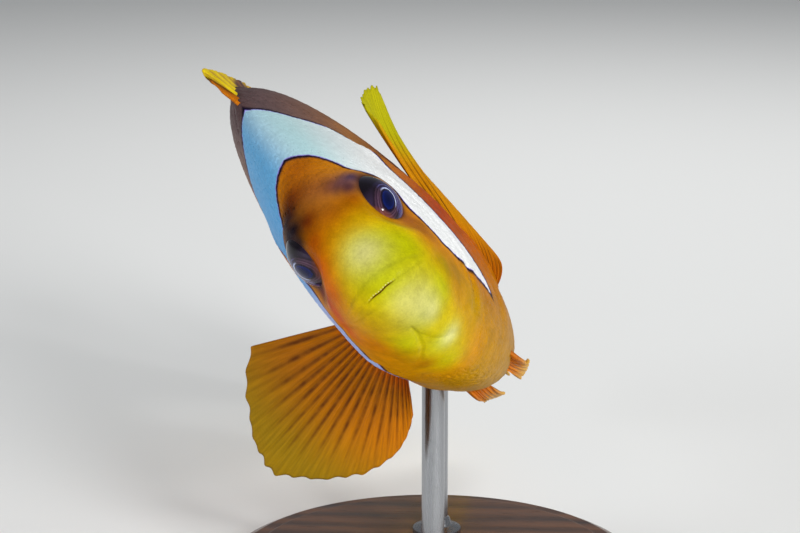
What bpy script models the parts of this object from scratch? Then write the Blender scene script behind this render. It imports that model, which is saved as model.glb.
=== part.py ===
"""Two-band anemonefish, life size, as a still display model on a plain stand.

The fish is modelled in its own frame, in millimetres: X to the fish's left, Y from the snout
towards the tail, Z up, with the front of the closed lips at the origin.  The finished pieces are
then bent, banked and lifted onto the stand.  The world is in metres, +Z up, the underside of the
stand's base at Z = 0 with its centre at the origin, and the snout points towards -Y.
"""
import math
from functools import partial

import bmesh
import bpy
from mathutils import Matrix, Vector

MM = 0.001
GAP = 0.3                       # clear space between touching pieces, mm

# ---- the body: distance behind the lips, back, belly, half width (mm) ----
BODY_STATIONS = (
    (0.0, 0.0, 0.0, 0.0),
    (1.2, 3.6, -3.0, 3.1),
    (4.0, 7.6, -5.6, 5.2),
    (8.0, 12.0, -8.3, 6.8),
    (14.0, 17.2, -11.6, 7.9),
    (21.0, 22.2, -14.6, 8.8),
    (30.0, 27.4, -17.0, 9.4),
    (40.0, 31.2, -18.3, 9.3),
    (50.0, 31.4, -18.6, 8.8),
    (62.0, 28.8, -17.6, 7.6),
    (76.0, 22.4, -14.8, 5.7),
    (88.0, 14.2, -10.0, 3.8),
    (96.0, 9.8, -7.3, 2.7),
    (104.0, 9.0, -6.5, 1.9),
)
BODY_LENGTH = BODY_STATIONS[-1][0]
BODY_RINGS = 38
BODY_SIDES = 32
RING_CROWDING = 0.45            # rings lie closer together at the snout: 1 would be even
STALK_END_Z = 1.35              # the middle of the tail stalk's end

# ---- the body's cross section.  A squareness of 2 is an ellipse and less is a pointed arch.
# Each row is a change, and the distances behind the lips where it starts and is complete ----
CROWN_SQUARENESS = 2.2
CROWN_CHANGES = ((-0.5, 12.0, 30.0), (0.08, 32.0, 42.0), (0.22, 70.0, 100.0))
KEEL_SQUARENESS = 2.0
KEEL_CHANGES = ((0.12, 5.0, 25.0),)
WIDEST_HEIGHT = 0.0
WIDEST_CHANGES = ((3.0, 0.0, 45.0), (-1.6, 75.0, 104.0))

# ---- how the flesh is parted ----
FAR = 60.0                          # cutters reach this far past what they cut
SHOULDER_ARC = (4.0, 0.0, 30.0)     # centre y, centre z, radius of the line behind the gill covers
GILL_DISC = (26.0, -1.0, 11.0)      # the same three for the front edge of a gill cover
GILL_INNER = 5.2                    # how near the middle a gill cover reaches
JAW_DEPTH = 5.0                     # how far back the lower jaw reaches
TAIL_CUT = 88.0                     # where the trunk ends and the tail stalk starts

# ---- eyes ----
EYE_CENTRE = (4.45, 11.5, 8.8)
EYE_RADII = (2.9, 3.9, 3.9)         # through the pupil, and across
EYE_TURN = (17.0, 8.0)              # degrees that the eye looks forwards and upwards

# ---- fins: where they start, and half their thickness at the root and at the edge ----
FIN_ROOT = 1.2                      # how far a fin on the midline starts inside the body
MEDIAN_HALVES = (0.5, 0.3)
PAIRED_HALVES = (0.55, 0.28)
TAIL_HALVES = (1.2, 0.3)
THINNED_AT = 0.6                    # share of a ray's length where the fin is down to its edge's thickness

# ---- median fins: base y, tip y, tip z for rays from front to back ----
DORSAL_RAYS = (
    (32.5, 34.0, 31.8),
    (35.0, 37.2, 36.3),
    (40.0, 43.6, 36.0),
    (48.0, 53.0, 35.2),
    (57.0, 63.0, 34.3),
    (63.0, 70.5, 33.7),
    (70.0, 81.0, 33.6),
    (77.0, 90.5, 31.4),
    (81.5, 95.4, 27.4),
    (85.5, 96.8, 22.4),
    (88.5, 95.0, 17.8),
)
ANAL_RAYS = (
    (66.0, 68.6, -18.8),
    (69.5, 75.0, -20.4),
    (75.5, 85.5, -20.9),
    (81.0, 92.6, -19.5),
    (85.5, 95.0, -16.6),
    (88.5, 94.6, -13.6),
)
DORSAL_LEAN = -0.11                 # sideways lean for each mm that the dorsal fin rises

# ---- tail fin: base z, tip y, tip z for rays from top to bottom ----
TAIL_RAYS = (
    (9.0, 112.0, 13.6),
    (8.4, 121.5, 18.6),
    (7.2, 127.4, 19.2),
    (4.4, 125.6, 9.8),
    (1.4, 123.6, 1.4),
    (-1.6, 125.6, -7.0),
    (-4.5, 127.4, -16.4),
    (-5.7, 121.5, -15.8),
    (-6.3, 112.0, -10.9),
)

# ---- pectoral fin: base z, ray length, ray angle in the spread fan (degrees), and how far
# each ray of the raised left fin leans outwards for each mm of its length ----
PECTORAL_RAYS = (
    (-0.6, 14.6, 25.0, 0.05),
    (-1.7, 19.6, 8.5, 0.06),
    (-2.8, 23.0, -1.5, 0.075),
    (-4.0, 24.2, -8.0, 0.115),
    (-5.2, 21.2, -16.0, 0.10),
    (-6.4, 17.4, -26.0, 0.04),
    (-7.5, 13.0, -37.0, 0.02),
    (-8.6, 8.5, -45.0, 0.02),
    (-9.4, 4.4, -50.0, 0.02),
)
RIGHT_SWEEP = 27.0                  # the spread right fin slants back by this much
PECTORAL_BASE = (7.6, 35.4)         # x and y of the fin's base at z = 0
PECTORAL_BASE_SLOPE = -0.12         # and how y changes along it for each mm of height
RIGHT_EXTRA = 1.8                   # the spread rays reach this much past their stated length
RIGHT_BOW = 1.2                     # and bow backwards by this much
LEFT_TOP_ANGLE = 91.0               # the raised left fin's first ray points almost straight up
LEFT_CLOSING = 0.56                 # its fan is closed to this share of the spread one
LEFT_STRETCH = 1.05                 # and its closed rays reach a little further
LEFT_STEM = (2.2, 0.8, 0.0)         # its rays stand off the body by this before they turn upwards
LEFT_ELBOW = (0.9, 0.4, 0.0)        # and bulge by this where they turn
LEFT_TURN_AT = 0.25                 # share of a ray's length where it has turned

# ---- pelvic fin: base x, base y, tip x, tip y, tip z for rays from outside in ----
PELVIC_RAYS = (
    (3.5, 35.0, 3.6, 50.0, -19.2),
    (3.0, 36.0, 3.6, 57.5, -19.8),
    (2.3, 37.0, 2.6, 58.0, -20.5),
    (1.3, 38.2, 1.3, 51.0, -20.6),
)
PELVIC_BASE_Z = -15.6
PELVIC_KNEE = (0.4, 4.5, -20.0)     # outwards and back from the base, and the height where a ray bends

# ---- pose: the roll, lift and bend of the living fish ----
BANK = 41.2                         # degrees rolled onto its right side
NOSE_UP = 12.0                      # degrees that the snout is lifted
TWIST = 2.2                         # further roll of the body behind the head, degrees
TWIST_FROM, TWIST_TO, TWIST_HEIGHT = 8.0, 30.0, 2.0
BEND_FROM = 45.0                    # the tail swings to the fish's right behind this
BEND = 0.00095                      # sideways mm for each square mm behind it
SNOUT_AT = (-3.6, -50.0, 57.0)      # where the lips are in the world, mm

# ---- stand ----
BASE_RADIUS = 29.0
BASE_HEIGHT = 7.0
BASE_BEVEL = 1.2
ROD_RADIUS = 1.5
ROD_ENDS = ((-2.2, 46.0, -8.0), (-0.2, 62.0, -6.0))   # tops of the rods, in the fish's frame


def ramp(value, start, end):
    """0 before start, 1 after end, and a smooth rise between."""
    t = min(max((value - start) / (end - start), 0.0), 1.0)
    return t * t * (3.0 - 2.0 * t)


def changed(start, changes, y):
    """The value at y of something that starts as start and goes through these changes."""
    return start + sum(change * ramp(y, begin, end) for change, begin, end in changes)


def table_value(table, key, column):
    """Read one column of a table at key (its first column) along a smooth curve."""
    xs = [row[0] for row in table]
    ys = [row[column] for row in table]
    last = len(xs) - 2
    i = 0
    while i < last and key > xs[i + 1]:
        i += 1

    def slope(k):
        if k == 0 or k == len(xs) - 1:
            a, b = (0, 1) if k == 0 else (k - 1, k)
            return (ys[b] - ys[a]) / (xs[b] - xs[a])
        before = (ys[k] - ys[k - 1]) / (xs[k] - xs[k - 1])
        after = (ys[k + 1] - ys[k]) / (xs[k + 1] - xs[k])
        return (before * (xs[k + 1] - xs[k]) + after * (xs[k] - xs[k - 1])) / (xs[k + 1] - xs[k - 1])

    width = xs[i + 1] - xs[i]
    t = min(max((key - xs[i]) / width, 0.0), 1.0)
    rise = 3.0 * t * t - 2.0 * t * t * t
    return (ys[i] * (1.0 - rise) + ys[i + 1] * rise
            + slope(i) * width * t * (1.0 - t) ** 2
            - slope(i + 1) * width * t * t * (1.0 - t))


# The stations are read along the square root of the distance, which rounds the snout.
ROUNDED_STATIONS = tuple((math.sqrt(row[0]),) + row[1:] for row in BODY_STATIONS)


def back(y):
    return table_value(ROUNDED_STATIONS, math.sqrt(max(y, 0.0)), 1)


def belly(y):
    return table_value(ROUNDED_STATIONS, math.sqrt(max(y, 0.0)), 2)


def half_width(y):
    return table_value(ROUNDED_STATIONS, math.sqrt(max(y, 0.0)), 3)


def body_point(y, angle, grow=0.0):
    """A point on the body's skin, or on one that is larger all round by grow."""
    widest = changed(WIDEST_HEIGHT, WIDEST_CHANGES, y)
    c, s = math.cos(angle), math.sin(angle)
    if s >= 0.0:
        power = 2.0 / changed(CROWN_SQUARENESS, CROWN_CHANGES, y)
    else:
        power = 2.0 / changed(KEEL_SQUARENESS, KEEL_CHANGES, y)
    x = (half_width(y) + grow) * math.copysign(abs(c) ** power, c)
    reach = (back(y) - widest if s >= 0.0 else widest - belly(y)) + grow
    z = widest + reach * math.copysign(abs(s) ** power, s)
    return Vector((x, y, z))


def pose(point):
    """Take a point of the straight, level fish (mm) to its place in the world (m)."""
    x, y, z = point
    twist = math.radians(-TWIST) * ramp(y, TWIST_FROM, TWIST_TO)
    rise = z - TWIST_HEIGHT
    x, z = (x * math.cos(twist) + rise * math.sin(twist),
            TWIST_HEIGHT - x * math.sin(twist) + rise * math.cos(twist))
    behind = max(y - BEND_FROM, 0.0)
    turn = math.atan(2.0 * BEND * behind)
    bent = Vector((-BEND * behind * behind + x * math.cos(turn), y + x * math.sin(turn), z))
    bank = Matrix.Rotation(math.radians(-BANK), 3, "Y")
    lift = Matrix.Rotation(math.radians(-NOSE_UP), 3, "X")
    return (lift @ bank @ bent + Vector(SNOUT_AT)) * MM


# ---- scene helpers ----

def new_collection(name):
    collection = bpy.data.collections.new(name)
    bpy.context.scene.collection.children.link(collection)
    return collection


def add_object(name, bm, collection):
    mesh = bpy.data.meshes.new(name)
    bm.to_mesh(mesh)
    bm.free()
    obj = bpy.data.objects.new(name, mesh)
    collection.objects.link(obj)
    return obj


def smooth(obj, sharp_degrees):
    obj.data.shade_smooth()
    obj.data.set_sharp_from_angle(angle=math.radians(sharp_degrees))


def add_cutter(name, bm):
    obj = add_object(name, bm, CUTTERS)
    obj.hide_render = True
    obj.display_type = "WIRE"
    return obj


def material(name, color, roughness, metallic=0.0):
    mat = bpy.data.materials.new(name)
    mat.use_nodes = True
    shader = mat.node_tree.nodes["Principled BSDF"]
    shader.inputs["Base Color"].default_value = (*color, 1.0)
    shader.inputs["Roughness"].default_value = roughness
    shader.inputs["Metallic"].default_value = metallic
    return mat


def carved(name, source, steps, merge=0.002):
    """A copy of source after Booleans, as a bmesh; steps are (operation, cutter) pairs."""
    obj = bpy.data.objects.new(name, source.data)
    CUTTERS.objects.link(obj)
    for operation, cutter in steps:
        boolean = obj.modifiers.new(operation.lower(), "BOOLEAN")
        boolean.operation = operation
        boolean.solver = "EXACT"
        boolean.object = cutter
    graph = bpy.context.evaluated_depsgraph_get()
    mesh = bpy.data.meshes.new_from_object(obj.evaluated_get(graph))
    bpy.data.objects.remove(obj)
    bm = bmesh.new()
    bm.from_mesh(mesh)
    bpy.data.meshes.remove(mesh)
    bmesh.ops.remove_doubles(bm, verts=bm.verts, dist=merge)
    bmesh.ops.dissolve_degenerate(bm, edges=bm.edges, dist=merge)
    bmesh.ops.triangulate(bm, faces=bm.faces)
    return bm


def finish_fish_piece(name, bm, mat):
    """Pose a piece of the fish, and put it in the model's own collection."""
    for vert in bm.verts:
        vert.co = pose(vert.co)
    bmesh.ops.recalc_face_normals(bm, faces=bm.faces)
    obj = add_object(name, bm, PARTS)
    smooth(obj, 40.0)
    obj.data.materials.append(mat)
    return obj


# ---- cutter shapes, all in the fish's frame ----

def box(x_range, y_range, z_range):
    bm = bmesh.new()
    bmesh.ops.create_cube(bm, size=1.0)
    ranges = (x_range, y_range, z_range)
    for vert in bm.verts:
        vert.co = Vector([low + (co + 0.5) * (high - low) for co, (low, high) in zip(vert.co, ranges)])
    return bm


def cross_cylinder(y, z, radius, x_from, x_to):
    """A cylinder that runs from side to side of the fish."""
    bm = bmesh.new()
    place = Matrix.Translation(((x_from + x_to) / 2.0, y, z)) @ Matrix.Rotation(math.pi / 2.0, 4, "Y")
    bmesh.ops.create_cone(bm, cap_ends=True, segments=60, radius1=radius, radius2=radius,
                          depth=abs(x_to - x_from), matrix=place)
    return bm


def whole_body(grow=0.0):
    """The body's skin from a sphere, whose poles are the lips and the end of the tail stalk."""
    bm = bmesh.new()
    bmesh.ops.create_uvsphere(bm, u_segments=BODY_SIDES, v_segments=BODY_RINGS, radius=1.0)
    for vert in bm.verts:
        polar = math.acos(max(-1.0, min(1.0, vert.co.z)))
        share = polar / math.pi
        along = min(share * BODY_RINGS / (BODY_RINGS - 1.0), 1.0)
        y = BODY_LENGTH * along * (RING_CROWDING + (1.0 - RING_CROWDING) * along)
        angle = math.atan2(vert.co.y, vert.co.x)
        if share > 1.0 - 0.5 / BODY_RINGS:
            vert.co = Vector((0.0, BODY_LENGTH + grow, STALK_END_Z))
        elif share < 0.5 / BODY_RINGS:
            vert.co = Vector((0.0, -grow, 0.0))
        else:
            vert.co = body_point(y, angle, grow)
    bmesh.ops.recalc_face_normals(bm, faces=bm.faces)
    return bm


def eye_shape(side, grow=0.0):
    """A flattened ball that looks a little forwards and upwards; side is 1 for left, -1 for right."""
    bm = bmesh.new()
    bmesh.ops.create_uvsphere(bm, u_segments=18, v_segments=12, radius=1.0)
    bmesh.ops.rotate(bm, verts=bm.verts, cent=(0, 0, 0), matrix=Matrix.Rotation(math.pi / 2.0, 3, "Y"))
    forwards, upwards = (math.radians(angle) for angle in EYE_TURN)
    turn = Matrix.Rotation(-side * forwards, 3, "Z") @ Matrix.Rotation(-side * upwards, 3, "Y")
    centre = Vector((side * EYE_CENTRE[0], EYE_CENTRE[1], EYE_CENTRE[2]))
    for vert in bm.verts:
        flat = Vector([co * (radius + grow) for co, radius in zip(vert.co, EYE_RADII)])
        vert.co = centre + turn @ flat
    return bm


# ---- fins: each is a flat slab whose corners are moved to their places ----

def fin(paths, columns, rows, halves):
    """A closed fin.  paths(u, v) gives its middle surface, u along the base, v out along a ray."""
    root_half, edge_half = halves
    bm = bmesh.new()
    bmesh.ops.create_grid(bm, x_segments=columns, y_segments=rows, size=0.5)
    bmesh.ops.solidify(bm, geom=bm.faces[:], thickness=1.0)
    heights = [vert.co.z for vert in bm.verts]
    middle = (min(heights) + max(heights)) / 2.0
    step = 0.01
    for vert in bm.verts:
        u, v = vert.co.x + 0.5, vert.co.y + 0.5
        side = 1.0 if vert.co.z > middle else -1.0
        along = paths(min(u + step, 1.0), v) - paths(max(u - step, 0.0), v)
        outward = paths(u, min(v + step, 1.0)) - paths(u, max(v - step, 0.0))
        normal = along.cross(outward).normalized()
        half = root_half + (edge_half - root_half) * ramp(v, 0.0, THINNED_AT)
        vert.co = paths(u, v) + normal * side * half
    bmesh.ops.recalc_face_normals(bm, faces=bm.faces)
    return bm


def spread_table(table):
    """The rays' rows with their share of the fin's base (0 to 1) as a first column."""
    last = len(table) - 1
    return tuple((i / last,) + row for i, row in enumerate(table))


DORSAL_TABLE = spread_table(DORSAL_RAYS)
ANAL_TABLE = spread_table(ANAL_RAYS)
TAIL_TABLE = spread_table(TAIL_RAYS)
PECTORAL_TABLE = spread_table(PECTORAL_RAYS)
PELVIC_TABLE = spread_table(PELVIC_RAYS)


def dorsal_path(u, v):
    base_y, tip_y, tip_z = (table_value(DORSAL_TABLE, u, column) for column in (1, 2, 3))
    base = Vector((0.0, base_y, back(base_y) - FIN_ROOT))
    point = base.lerp(Vector((0.0, tip_y, tip_z)), v)
    point.x = DORSAL_LEAN * (point.z - base.z) * v
    return point


def anal_path(u, v):
    base_y, tip_y, tip_z = (table_value(ANAL_TABLE, u, column) for column in (1, 2, 3))
    base = Vector((0.0, base_y, belly(base_y) + FIN_ROOT))
    return base.lerp(Vector((0.0, tip_y, tip_z)), v)


def tail_path(u, v):
    base_z, tip_y, tip_z = (table_value(TAIL_TABLE, u, column) for column in (1, 2, 3))
    base = Vector((0.0, BODY_LENGTH + GAP, base_z))
    point = base.lerp(Vector((0.0, tip_y, tip_z)), v)
    point.z = base_z + (tip_z - base_z) * (0.35 * v + 0.65 * v * v)
    return point


def curve_point(start, knee, end, v):
    """A ray that leaves start towards knee and ends at end."""
    return start * (1.0 - v) ** 2 + knee * 2.0 * v * (1.0 - v) + end * v * v


def pectoral_path(side, u, v):
    base_z, length, angle, lean = (table_value(PECTORAL_TABLE, u, k) for k in (1, 2, 3, 4))
    base_x, base_y = PECTORAL_BASE
    base = Vector((side * base_x, base_y + PECTORAL_BASE_SLOPE * base_z, base_z))
    if side < 0.0:
        sweep = math.radians(RIGHT_SWEEP)
        out = Vector((-math.cos(sweep), math.sin(sweep), 0.0))
        a = math.radians(angle)
        tip = base + (out * math.cos(a) + Vector((0.0, 0.0, math.sin(a)))) * (length + RIGHT_EXTRA)
        knee = base.lerp(tip, 0.5) + Vector((0.0, RIGHT_BOW, 0.0))
        return curve_point(base, knee, tip, v)
    opened = (PECTORAL_RAYS[0][2] - angle) * LEFT_CLOSING
    a = math.radians(LEFT_TOP_ANGLE - opened)
    away = Vector((lean, math.cos(a), math.sin(a)))
    root = base + Vector(LEFT_STEM)
    tip = root + away * length * LEFT_STRETCH
    knee = root + Vector(LEFT_ELBOW) + away * length * LEFT_TURN_AT
    return curve_point(base, knee, tip, v)


def pelvic_path(side, u, v):
    base_x, base_y, tip_x, tip_y, tip_z = (table_value(PELVIC_TABLE, u, k) for k in (1, 2, 3, 4, 5))
    base = Vector((side * base_x, base_y, PELVIC_BASE_Z))
    tip = Vector((side * tip_x, tip_y, tip_z))
    outwards, behind, knee_z = PELVIC_KNEE
    knee = Vector((side * (base_x + outwards), base_y + behind, knee_z))
    return curve_point(base, knee, tip, v)


# ---- the parts ----

def make_flesh(skin, head_skin):
    """The body parted into head, lower jaw, gill covers, trunk and tail stalk."""
    y, z, radius = SHOULDER_ARC
    across = (-FAR, FAR)
    behind_tail_cut = BODY_LENGTH + FAR
    in_front = add_cutter("shoulder_front", cross_cylinder(y, z, radius - GAP / 2.0, *across))
    behind = add_cutter("shoulder_behind", cross_cylinder(y, z, radius + GAP / 2.0, *across))
    jaw = add_cutter("jaw", box(across, (-FAR, JAW_DEPTH), (-FAR, -GAP / 2.0)))
    jaw_room = add_cutter("jaw_room", box(across, (-FAR, JAW_DEPTH + GAP), (-FAR, GAP / 2.0)))
    tail = add_cutter("tail", box(across, (TAIL_CUT + GAP / 2.0, behind_tail_cut), across))
    tail_room = add_cutter("tail_room", box(across, (TAIL_CUT - GAP / 2.0, behind_tail_cut), across))
    y, z, radius = GILL_DISC
    gill_rooms = []
    for side, label in ((1.0, "left"), (-1.0, "right")):
        plate = cross_cylinder(y, z, radius, side * GILL_INNER, side * FAR)
        room = cross_cylinder(y, z, radius + GAP, side * (GILL_INNER - GAP), side * FAR)
        plate = add_cutter("gill_" + label, plate)
        gill_rooms.append(add_cutter("gill_room_" + label, room))
        cover = carved("cover", head_skin, (("INTERSECT", in_front), ("INTERSECT", plate)))
        finish_fish_piece("gill_cover_" + label, cover, BAR_WHITE)

    steps = [("INTERSECT", in_front), ("DIFFERENCE", jaw_room)]
    steps += [("DIFFERENCE", room) for room in gill_rooms]
    finish_fish_piece("head", carved("head", head_skin, steps), FACE_ORANGE)
    finish_fish_piece("lower_jaw", carved("jaw", skin, (("INTERSECT", jaw),)), JAW_YELLOW)
    finish_fish_piece("tail_stalk", carved("stalk", skin, (("INTERSECT", tail),)), FLANK_BROWN)
    return carved("trunk", skin, (("DIFFERENCE", behind), ("DIFFERENCE", tail_room)))


def make_fins(body_room):
    """Each fin is cut where it meets the body, so its root follows the skin."""
    shapes = (
        ("dorsal_fin", fin(dorsal_path, 30, 5, MEDIAN_HALVES), FIN_YELLOW),
        ("anal_fin", fin(anal_path, 16, 4, MEDIAN_HALVES), FIN_YELLOW),
        ("pectoral_fin_left", fin(partial(pectoral_path, 1.0), 16, 8, PAIRED_HALVES), FIN_AMBER),
        ("pectoral_fin_right", fin(partial(pectoral_path, -1.0), 16, 8, PAIRED_HALVES), FIN_AMBER),
        ("pelvic_fin_left", fin(partial(pelvic_path, 1.0), 6, 6, PAIRED_HALVES), FIN_YELLOW),
        ("pelvic_fin_right", fin(partial(pelvic_path, -1.0), 6, 6, PAIRED_HALVES), FIN_YELLOW),
    )
    for name, shape, mat in shapes:
        raw = add_cutter(name + "_raw", shape)
        finish_fish_piece(name, carved(name, raw, (("DIFFERENCE", body_room),)), mat)
    finish_fish_piece("tail_fin", fin(tail_path, 22, 5, TAIL_HALVES), FIN_YELLOW)


def rod_shape(end, grow=0.0):
    """An upright rod from just above the base to its end inside the trunk, in the world."""
    top = pose(end)
    low = (BASE_HEIGHT + GAP) * MM if grow == 0.0 else top.z / 2.0
    high = top.z + grow * MM
    bm = bmesh.new()
    radius = (ROD_RADIUS + grow) * MM
    bmesh.ops.create_cone(bm, cap_ends=True, segments=24, radius1=radius, radius2=radius,
                          depth=high - low, matrix=Matrix.Translation((top.x, top.y, (low + high) / 2.0)))
    return bm


def make_trunk(straight_trunk):
    """The trunk is posed first, then bored for the two rods that carry it."""
    posed = finish_fish_piece("trunk", straight_trunk, FLANK_BROWN)
    steps = [("DIFFERENCE", add_cutter("rod_room_%d" % number, rod_shape(end, GAP)))
             for number, end in enumerate(ROD_ENDS)]
    bored = carved("bored", posed, steps, 0.002 * MM)
    bored.to_mesh(posed.data)
    bored.free()
    smooth(posed, 40.0)


def make_stand():
    bm = bmesh.new()
    bmesh.ops.create_cone(bm, cap_ends=True, segments=40, radius1=BASE_RADIUS * MM,
                          radius2=BASE_RADIUS * MM, depth=BASE_HEIGHT * MM,
                          matrix=Matrix.Translation((0.0, 0.0, BASE_HEIGHT * MM / 2.0)))
    rim = [edge for edge in bm.edges if abs(edge.verts[0].co.z - edge.verts[1].co.z) < 1e-6]
    bmesh.ops.bevel(bm, geom=rim, offset=BASE_BEVEL * MM, segments=2, profile=0.5,
                    affect="EDGES", material=-1)
    base = add_object("stand_base", bm, PARTS)
    smooth(base, 30.0)
    base.data.materials.append(BASE_WOOD)
    for label, end in zip(("front", "rear"), ROD_ENDS):
        rod = add_object("stand_rod_" + label, rod_shape(end), PARTS)
        smooth(rod, 40.0)
        rod.data.materials.append(ROD_STEEL)


def make_fish():
    skin = add_cutter("skin", whole_body())
    sockets = [add_cutter("socket_%d" % side, eye_shape(side, GAP)) for side in (1, -1)]
    hollow = carved("head_skin", skin, [("DIFFERENCE", socket) for socket in sockets])
    head_skin = add_cutter("head_skin", hollow)
    trunk = make_flesh(skin, head_skin)
    make_trunk(trunk)
    for side, label in ((1, "left"), (-1, "right")):
        finish_fish_piece("eye_" + label, eye_shape(side), EYE_DARK)
    make_fins(add_cutter("body_room", whole_body(GAP)))


for old in list(bpy.data.objects):
    bpy.data.objects.remove(old, do_unlink=True)
PARTS = new_collection("anemonefish")
CUTTERS = new_collection("cutters")
FACE_ORANGE = material("face_orange", (0.62, 0.24, 0.02), 0.35)
JAW_YELLOW = material("jaw_yellow", (0.62, 0.55, 0.02), 0.35)
BAR_WHITE = material("bar_white", (0.72, 0.76, 0.80), 0.35)
FLANK_BROWN = material("flank_brown", (0.28, 0.11, 0.03), 0.4)
FIN_YELLOW = material("fin_yellow", (0.70, 0.45, 0.01), 0.4)
FIN_AMBER = material("fin_amber", (0.62, 0.26, 0.01), 0.4)
EYE_DARK = material("eye_dark", (0.03, 0.015, 0.03), 0.1)
BASE_WOOD = material("base_wood", (0.09, 0.045, 0.025), 0.45)
ROD_STEEL = material("rod_steel", (0.55, 0.55, 0.56), 0.3, 1.0)
make_fish()
make_stand()
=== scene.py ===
# %% [markdown]
# # A two-band anemonefish on its display stand
#
# This lesson finishes a small fish model that already exists as plain solids.  The solids keep
# their places and sizes.  Around them we make one continuous skin, a coat of real scales, eyes,
# rayed fins and a turned stand, and each gets a material of its own.

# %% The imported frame
import math

import bmesh
import bpy
import numpy as np
from mathutils import Matrix, Vector


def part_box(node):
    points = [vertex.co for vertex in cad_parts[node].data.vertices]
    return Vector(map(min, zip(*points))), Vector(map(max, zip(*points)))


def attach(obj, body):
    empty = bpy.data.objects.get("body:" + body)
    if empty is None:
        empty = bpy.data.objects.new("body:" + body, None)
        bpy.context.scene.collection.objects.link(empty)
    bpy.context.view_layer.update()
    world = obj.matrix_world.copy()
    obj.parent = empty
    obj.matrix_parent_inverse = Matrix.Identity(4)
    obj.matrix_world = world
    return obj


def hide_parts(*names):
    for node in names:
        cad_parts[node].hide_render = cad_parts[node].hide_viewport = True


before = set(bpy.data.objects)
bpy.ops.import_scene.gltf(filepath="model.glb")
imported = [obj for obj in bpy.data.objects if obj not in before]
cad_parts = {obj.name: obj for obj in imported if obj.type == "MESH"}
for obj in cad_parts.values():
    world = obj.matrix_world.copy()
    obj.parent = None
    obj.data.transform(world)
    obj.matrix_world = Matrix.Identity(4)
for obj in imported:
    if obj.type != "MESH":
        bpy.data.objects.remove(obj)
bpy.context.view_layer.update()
MM = 0.001

# %% [markdown]
# ## The fish's own frame
#
# A banked and bent fish is hard to model in place, because every "up" is slanted.  Modellers
# build such an animal straight and level, and pose it last.  So all of the fish's sizes below are
# millimetres in its own frame: X to its left, Y from the lips to the tail, Z up.  The last step
# for each piece is `pose`, which swings the tail, banks the fish and lifts it onto the rods, as
# it did for the solids.

# %% Smooth steps and tables
def ramp(value, start, end):
    """0 before start, 1 after end, and a smooth rise between."""
    t = np.clip((value - start) / (end - start), 0.0, 1.0)
    return t * t * (3.0 - 2.0 * t)


def changed(start, changes, y):
    """The value at y of something that starts as start and goes through these changes."""
    return start + sum(change * ramp(y, begin, end) for change, begin, end in changes)


def read_table(table, key, column):
    """Read one column of a table at key (its first column) along a smooth curve."""
    xs, ys = table[:, 0], table[:, column]
    gaps = np.diff(xs)
    rises = np.diff(ys) / gaps
    inner = (rises[:-1] * gaps[1:] + rises[1:] * gaps[:-1]) / (gaps[1:] + gaps[:-1])
    slopes = np.concatenate((rises[:1], inner, rises[-1:]))
    i = np.clip(np.searchsorted(xs, key, "left") - 1, 0, len(xs) - 2)
    t = np.clip((key - xs[i]) / gaps[i], 0.0, 1.0)
    rise = 3.0 * t * t - 2.0 * t ** 3
    return (ys[i] * (1.0 - rise) + ys[i + 1] * rise
            + slopes[i] * gaps[i] * t * (1.0 - t) ** 2
            - slopes[i + 1] * gaps[i] * t * t * (1.0 - t))


# %% The body's outline: distance behind the lips, back, belly, half width
BODY_STATIONS = np.array((
    (0.0, 0.0, 0.0, 0.0), (1.2, 3.6, -3.0, 3.1), (4.0, 7.6, -5.6, 5.2), (8.0, 12.0, -8.3, 6.8),
    (14.0, 17.2, -11.6, 7.9), (21.0, 22.2, -14.6, 8.8), (30.0, 27.4, -17.0, 9.4),
    (40.0, 31.2, -18.3, 9.3), (50.0, 31.4, -18.6, 8.8), (62.0, 28.8, -17.6, 7.6),
    (76.0, 22.4, -14.8, 5.7), (88.0, 14.2, -10.0, 3.8), (96.0, 9.8, -7.3, 2.7),
    (104.0, 9.0, -6.5, 1.9)))
BODY_LENGTH = BODY_STATIONS[-1, 0]
STALK_END_Z = 1.35
CROWN_CHANGES = ((-0.5, 12.0, 30.0), (0.08, 32.0, 42.0), (0.22, 70.0, 100.0))
KEEL_CHANGES = ((0.12, 5.0, 25.0),)
WIDEST_CHANGES = ((3.0, 0.0, 45.0), (-1.6, 75.0, 104.0))
ROUNDED_STATIONS = BODY_STATIONS.copy()
ROUNDED_STATIONS[:, 0] = np.sqrt(BODY_STATIONS[:, 0])


def outline(root_y, column):
    return read_table(ROUNDED_STATIONS, root_y, column)


def body_surface(root_y, angle):
    """Points of the bare body; root_y is the square root of the distance behind the lips."""
    y = root_y ** 2
    widest = changed(0.0, WIDEST_CHANGES, y)
    c, s = np.cos(angle), np.sin(angle)
    above = s >= 0.0
    power = 2.0 / np.where(above, changed(2.2, CROWN_CHANGES, y), changed(2.0, KEEL_CHANGES, y))
    x = outline(root_y, 3) * np.sign(c) * np.abs(c) ** power
    reach = np.where(above, outline(root_y, 1) - widest, widest - outline(root_y, 2))
    z = widest + reach * np.sign(s) * np.abs(s) ** power
    return np.stack((x, y, z), axis=-1)


# %% The pose, as the solids have it
BANK, NOSE_UP = 41.2, 12.0
TWIST, TWIST_FROM, TWIST_TO, TWIST_HEIGHT = 2.2, 8.0, 30.0, 2.0
BEND_FROM, BEND = 45.0, 0.00095
SNOUT_AT = np.array((-3.6, -50.0, 57.0))
LIFT = Matrix.Rotation(math.radians(-NOSE_UP), 3, "X") @ Matrix.Rotation(math.radians(-BANK), 3, "Y")


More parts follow.
